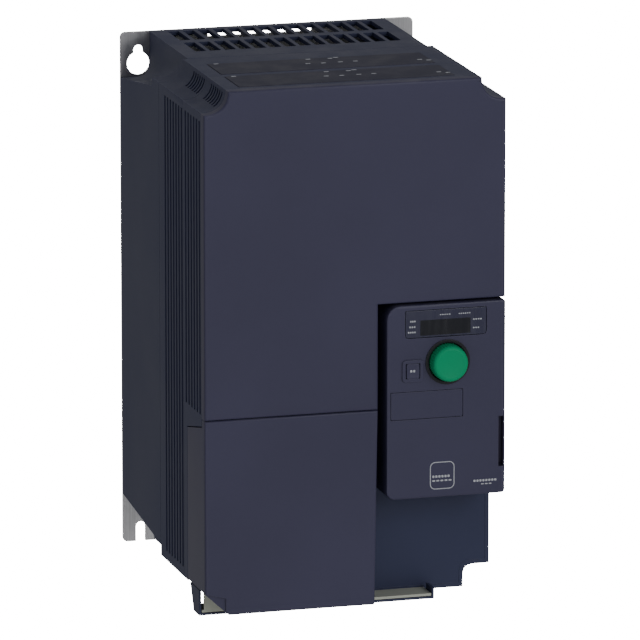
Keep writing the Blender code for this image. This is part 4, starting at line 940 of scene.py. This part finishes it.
@dataclass
class PanelPrint:
    """The ink on the panel: ticks where words would be, and a plain rounded badge.

    Places are across and up from the panel's lower left corner.
    """

    rise: float = 0.00008
    state_ticks: tuple[Ticks, ...] = (
        Ticks(0.0139, 0.0175, 0.1053),
        Ticks(0.0134, 0.0175, 0.1020),
        Ticks(0.0126, 0.0176, 0.0989),
        Ticks(0.0317, 0.0385, 0.1084, 0.0006),
        Ticks(0.0430, 0.0505, 0.1084, 0.0006),
        Ticks(0.0517, 0.0574, 0.1045, 0.0008),
        Ticks(0.0517, 0.0559, 0.0995, 0.0008),
    )
    badge: tuple[float, float, float, float] = (0.0261, 0.0409, 0.0048, 0.0211)
    badge_corner: float = 0.0032
    badge_line: float = 0.0005
    shell_ticks: tuple[Ticks, ...] = (
        Ticks(0.0275, 0.0385, 0.0124, 0.0014, 0.0020),
        Ticks(0.0275, 0.0398, 0.0099, 0.0009, 0.0026),
        Ticks(0.0524, 0.0668, 0.0083, 0.0013, 0.0018),
        Ticks(0.0570, 0.0640, 0.0062, 0.0006, 0.0024),
    )
    key_ticks: tuple[Ticks, ...] = (Ticks(0.0120, 0.0172, 0.0762, 0.0014, 0.0018),)
    key_sink: float = 0.00022

    def build(self) -> None:
        """Prints on the window, the shell and the key."""
        panel, window, key = Extent.of("panel_shell"), Extent.of("display_window"), Extent.of("escape_key")
        self.print_ticks("window_print", self.state_ticks, window.front, "control_panel")
        self.print_ticks("badge_print", self.shell_ticks, panel.front, "control_panel")
        self.print_ticks("key_print", self.key_ticks, key.front - self.key_sink, "escape_key")
        left, right, bottom, top = self.badge
        outline = rectangle(panel.left + left, panel.left + right, panel.bottom + bottom, panel.bottom + top)
        profile = ring_profile(self.badge_line, panel.front - self.rise, panel.front + self.rise, 0.3 * self.rise)
        ring = Surface().sweep(fillet(outline, self.badge_corner, 8), profile, ring=True)
        dress("badge_outline", ring, "control_panel", INK)

    def print_ticks(self, name: str, rows: Iterable[Ticks], front: float, body: str) -> None:
        """Prints rows of ticks on a flat front.

        Args:
            name: The piece's name.
            rows: The ticks.
            front: Depth of the surface they lie on.
            body: The frame body that carries them.
        """
        panel = Extent.of("panel_shell")
        corner = np.array([panel.left, panel.bottom])
        levels = np.array([(0.3, 1.0), (0.0, 0.6), (0.0, -1.0)])
        profile = levels * self.rise + np.array([0.0, front])
        surface = Surface()
        for row in rows:
            for outline in row.outlines():
                surface.sweep(outline + corner, profile)
        dress(name, surface, body, INK)


@dataclass
class JogDial:
    """The green dial: fine ridges round its side and a dished face."""

    ridges: int = 40
    ridge_depth: float = 0.00028
    columns_per_ridge: int = 8
    draft: float = 0.0003
    shoulder_drop: float = 0.0026
    shoulder: tuple[tuple[float, float], ...] = ((0.0005, 0.0017), (0.0009, 0.0009), (0.0016, 0.0003), (0.0024, 0.0))
    dish_depth: float = 0.0008

    def build(self) -> None:
        """Works out the dial's side and face on one grid of turns and profile steps.

        The radius is the turned profile's, less a ridge wave that fades out towards the face.
        """
        dial = Extent.of("jog_dial")
        radius = dial.width / 2
        side = np.linspace(dial.back, dial.front - self.shoulder_drop, 8)
        side = np.stack([np.linspace(radius, radius - self.draft, 8), side], axis=1)
        shoulder = np.array([radius, dial.front]) - np.array(self.shoulder)
        across = np.linspace(0.72, 0.02, 12)
        dish = np.stack([across * radius, dial.front - self.dish_depth * (1 - (across / 0.78) ** 2)], axis=1)
        profile = np.vstack([side, shoulder, dish])[::-1]
        steps = self.ridges * self.columns_per_ridge
        angle = np.linspace(0, 2 * math.pi, steps, endpoint=False)
        wave = 0.5 - 0.5 * np.cos(self.ridges * angle)
        fade = [dial.front - self.shoulder_drop, dial.front - self.dish_depth]
        strength = np.interp(profile[:, 1], fade, [1.0, 0.0])
        strength *= profile[:, 0] > 0.8 * radius
        reach = profile[:, 0, None] - self.ridge_depth * strength[:, None] * wave[None]
        surface = Surface().polar(dial.middle, reach, profile[:, 1:], steps)
        dress("jog_dial_ridged", surface, "jog_dial", DIAL, ["jog_dial"], sharp=60)


@dataclass
class EscapeKey:
    """The small square key with a shallow hollow in its face."""

    corner: float = 0.0010
    edge: float = 0.0004
    hollow: float = 0.00025

    def build(self) -> None:
        """Shrinks the outline towards the middle for the face, and carries the edge and side round it.

        The face sinks as 1 - share^2, where share is the part of the way from the middle to the edge.
        """
        key = Extent.of("escape_key")
        outline = fillet(key.face(), self.corner)
        inner = outline + 1.5 * self.edge * mitres(outline)
        share = np.linspace(0.04, 1.0, 8)
        face = np.array(key.middle) + share[:, None, None] * (inner - np.array(key.middle))[None]
        rise = np.broadcast_to((key.front - self.hollow * (1 - share**2))[:, None], face.shape[:2])
        profile = np.vstack([quarter_round(self.edge, key.front)[1:], [(0.0, key.back)]])
        side = outline[None] + profile[:, 0, None, None] * mitres(outline)[None]
        side_rise = np.broadcast_to(profile[:, 1, None], side.shape[:2])
        rings = np.concatenate([in_scene(face, rise, Facing.FRONT), in_scene(side, side_rise, Facing.FRONT)])
        surface = Surface().grid(rings)
        dress("escape_key_cap", surface, "escape_key", PANEL, ["escape_key"])


# ---------------------------------------------------------------- inside


@dataclass
class Interior:
    """What shows with the covers off, and through the slots."""

    edge: float = 0.0002

    def build(self) -> None:
        """Gives each inner node its finish and eases the edges of the larger ones."""
        for node in ("power_terminals", "control_terminals", "charging_relay"):
            softened(node, TERMINAL, self.edge)
        for node in ("network_socket", "panel_socket", "fan_frame_left", "fan_frame_right", "power_module"):
            softened(node, BLACK, self.edge)
        pillars = tuple(f"board_pillar_{i}" for i in range(1, 5))
        for finish, nodes in (
            (BLACK, ("fan_rotor_left", "fan_rotor_right", "display_module", "key_switch", "panel_plug")),
            (BOARD, ("power_board", "control_board", "keypad_board")),
            (STEEL, ("encoder_body", "encoder_shaft", *pillars)),
            (SHADE_DARK_SINK, ("heatsink",)),
        ):
            for node in nodes:
                self.finish(node, finish)

    @staticmethod
    def finish(node: str, finish: Finish) -> None:
        """Gives a frame node a finish in place of its plain colour."""
        thing = frame["nodes"][node]
        thing.data.materials.clear()
        thing.data.materials.append(finish.material())
        LOG.info("%s: %s", node, finish.name)


@dataclass
class Screws:
    """Pan-head screws with a cross recess, each one polar grid."""

    rings: int = 22
    spokes: int = 72
    slot_share: float = 0.17
    reach_share: float = 0.60

    def build(self) -> None:
        """Replaces every screw of the frame."""
        for node in sorted(name for name in frame["nodes"] if "screw" in name):
            self.screw(node)

    def screw(self, node: str) -> None:
        """One screw head.

        The rise is a dome, (1 - r^2) to a power, less the cross recess: two crossed bars with sloping walls.

        Args:
            node: The frame node that it stands for.
        """
        head = Extent.of(node)
        radius, height = head.width / 2, head.front - head.back
        share = np.linspace(0.02, 1.0, self.rings)
        angle = np.linspace(0, 2 * math.pi, self.spokes, endpoint=False)
        x, y = share[:, None] * np.cos(angle), share[:, None] * np.sin(angle)
        dome = 0.45 + 0.55 * (1 - share**2.6) ** 0.5
        bar = np.minimum(self.bar(x, y), self.bar(y, x))
        rise = head.back + height * (dome[:, None] - 0.55 * (1 - bar))
        rise = np.vstack([rise, np.full(self.spokes, head.back)])
        surface = Surface().polar(head.middle, radius * np.append(share, 1.0)[:, None], rise, self.spokes)
        dress(f"{node}_head", surface, body_of(node), STEEL, [node], sharp=50)

    def bar(self, along: np.ndarray, aside: np.ndarray) -> np.ndarray:
        """0 in the floor of one bar of the cross and 1 outside it, with sloping walls between."""
        past_end = (np.abs(along) - self.reach_share) / 0.10
        past_side = (np.abs(aside) - self.slot_share) / 0.08
        return np.clip(np.maximum(past_end, past_side), 0, 1)


@dataclass
class PowerStage:
    """The capacitors and the choke on the power board.

    The sleeve's rows are (in from its side, behind its front) and (in from its side, ahead of its back).
    """

    sleeve_turn: float = 0.0012
    sleeve_front: tuple[tuple[float, float], ...] = ((0.0012, 0.0004), (0.0012, 0.0), (0.0003, 0.0001), (0.0, 0.0006))
    sleeve_back: tuple[tuple[float, float], ...] = (
        (0.0, 0.0060),
        (0.0005, 0.0052),
        (0.0009, 0.0044),
        (0.0005, 0.0036),
        (0.0, 0.0028),
        (0.0, 0.0008),
        (0.0008, 0.0),
    )
    top_sink: float = 0.0003
    top_thickness: float = 0.0009
    can_columns: int = 64
    windings: int = 34
    wire_relief: float = 0.0006

    def build(self) -> None:
        """Makes the four capacitors and the choke."""
        for number in range(1, 5):
            self.capacitor(f"dc_capacitor_{number}")
        self.choke()

    def capacitor(self, node: str) -> None:
        """A can in its shrunk sleeve: pressed groove, turned-in lip and the bare top in it."""
        can = Extent.of(node)
        radius = can.width / 2
        lip = radius - self.sleeve_turn
        sleeve = [(radius - inwards, can.front - behind) for inwards, behind in self.sleeve_front]
        sleeve += [(radius - inwards, can.back + ahead) for inwards, ahead in self.sleeve_back]
        reach, rise = np.array(sleeve)[:, :1], np.array(sleeve)[:, 1:]
        surface = Surface().polar(can.middle, reach, rise, self.can_columns)
        dress(f"{node}_sleeve", surface, "drive", BLACK, [node])
        share = np.linspace(0.02, 1.0, 20)
        angle = np.linspace(0, 2 * math.pi, self.can_columns, endpoint=False)
        groove = self.top_sink * np.clip(1 - np.abs(np.sin(2 * angle))[None] * share[:, None] / 0.06, 0, 1)
        rise = can.front - self.top_sink - groove * (share[:, None] < 0.85)
        rise = np.vstack([rise, np.full(self.can_columns, can.front - self.top_sink - self.top_thickness)])
        surface = Surface().polar(can.middle, lip * np.append(share, 1.0)[:, None], rise, self.can_columns)
        dress(f"{node}_top", surface, "drive", ALUMINIUM)

    def choke(self) -> None:
        """A ring core under its winding.

        The tube's radius rises and falls once for each turn of wire, and the turns lean round the tube.
        """
        coil = Extent.of("filter_choke")
        tube = (coil.front - coil.back) / 2
        ring = coil.width / 2 - tube
        turn = np.linspace(0, 2 * math.pi, self.windings * 8, endpoint=False)[:, None]
        around = np.linspace(0, 2 * math.pi, 24, endpoint=False)[None]
        wire = np.abs(np.sin(self.windings * turn / 2 + around / 2))
        radius = tube - self.wire_relief * (1 - wire)
        reach = ring + radius * np.cos(around)
        centre = coil.middle
        plane = np.stack([centre[0] + reach * np.cos(turn), centre[1] + reach * np.sin(turn)], axis=-1)
        rise = (coil.back + coil.front) / 2 + radius * np.sin(around)
        surface = Surface().grid(in_scene(plane, rise, Facing.FRONT), (True, True), caps=False)
        dress("filter_choke_winding", surface, "drive", WIRE, ["filter_choke"], sharp=75)


# ---------------------------------------------------------------- studio


@dataclass
class Studio:
    """Camera, soft lights and a pale floor."""

    azimuth: float = 15.962
    pitch: float = 13.013
    distance: float = 4.7926
    target: Vector = Vector((0.005844, -0.095, -0.004268))
    lens: float = 460.11
    sensor: float = 36.0
    floor_height: float = -1.5
    floor_reach: float = 40.0
    world_strength: float = 0.30

    def build(self) -> None:
        """Makes the whole studio."""
        self.camera()
        self.floor()
        self.light("key_light", (1.6, -3.8, 1.6), 2.2, 59.0)
        self.light("low_light", (-0.5, -4.0, -0.6), 1.8, 13.0)
        self.light("fill_light", (-3.6, -1.6, 0.6), 2.6, 5.0)
        self.light("top_light", (-0.4, 0.2, 3.4), 2.4, 8.5)
        world = bpy.data.worlds.new("studio")
        world.use_nodes = True
        background = world.node_tree.nodes["Background"]
        background.inputs["Color"].default_value = (1.0, 1.0, 1.0, 1.0)
        background.inputs["Strength"].default_value = self.world_strength
        bpy.context.scene.world = world

    def camera(self) -> None:
        """A long lens, looking down on the drive from the left."""
        turn, down = math.radians(self.azimuth), math.radians(self.pitch)
        ahead = Vector((math.sin(turn) * math.cos(down), math.cos(turn) * math.cos(down), -math.sin(down)))
        lens = bpy.data.cameras.new("camera")
        lens.lens = self.lens
        lens.sensor_width = self.sensor
        camera = bpy.data.objects.new("camera", lens)
        camera.location = self.target - self.distance * ahead
        camera.rotation_euler = ahead.to_track_quat("-Z", "Y").to_euler()
        bpy.context.scene.collection.objects.link(camera)
        bpy.context.scene.camera = camera

    def floor(self) -> None:
        """A wide plain floor, far enough below to carry no shadow edge."""
        reach = self.floor_reach
        ticks = np.linspace(-reach, reach, 9)
        x, y = np.meshgrid(ticks, ticks)
        grid = np.stack([x, y, np.full_like(x, self.floor_height)], axis=-1)
        mesh = Surface().grid(grid, (False, False), caps=False).mesh("floor")
        mesh.materials.append(FLOOR.material())
        mesh.flip_normals()
        floor = bpy.data.objects.new("floor", mesh)
        bpy.context.scene.collection.objects.link(floor)

    def light(self, name: str, place: tuple[float, float, float], size: float, power: float) -> None:
        """A square softbox aimed at the drive."""
        lamp = bpy.data.lights.new(name, "AREA")
        lamp.shape = "SQUARE"
        lamp.size = size
        lamp.energy = power
        thing = bpy.data.objects.new(name, lamp)
        thing.location = place
        thing.rotation_euler = (self.target - Vector(place)).to_track_quat("-Z", "Y").to_euler()
        bpy.context.scene.collection.objects.link(thing)


def main() -> None:
    """Builds every sub-assembly in order."""
    logging.basicConfig(level=logging.INFO, format="%(name)s %(message)s")
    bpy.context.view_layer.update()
    for assembly in (
        CaseBody(),
        UpperCover(),
        TopStrips(),
        ControlPanel(),
        PanelPrint(),
        JogDial(),
        EscapeKey(),
        Interior(),
        Screws(),
        PowerStage(),
        Studio(),
    ):
        LOG.info("building %s", type(assembly).__name__)
        assembly.build()


if __name__ == "__main__":
    main()
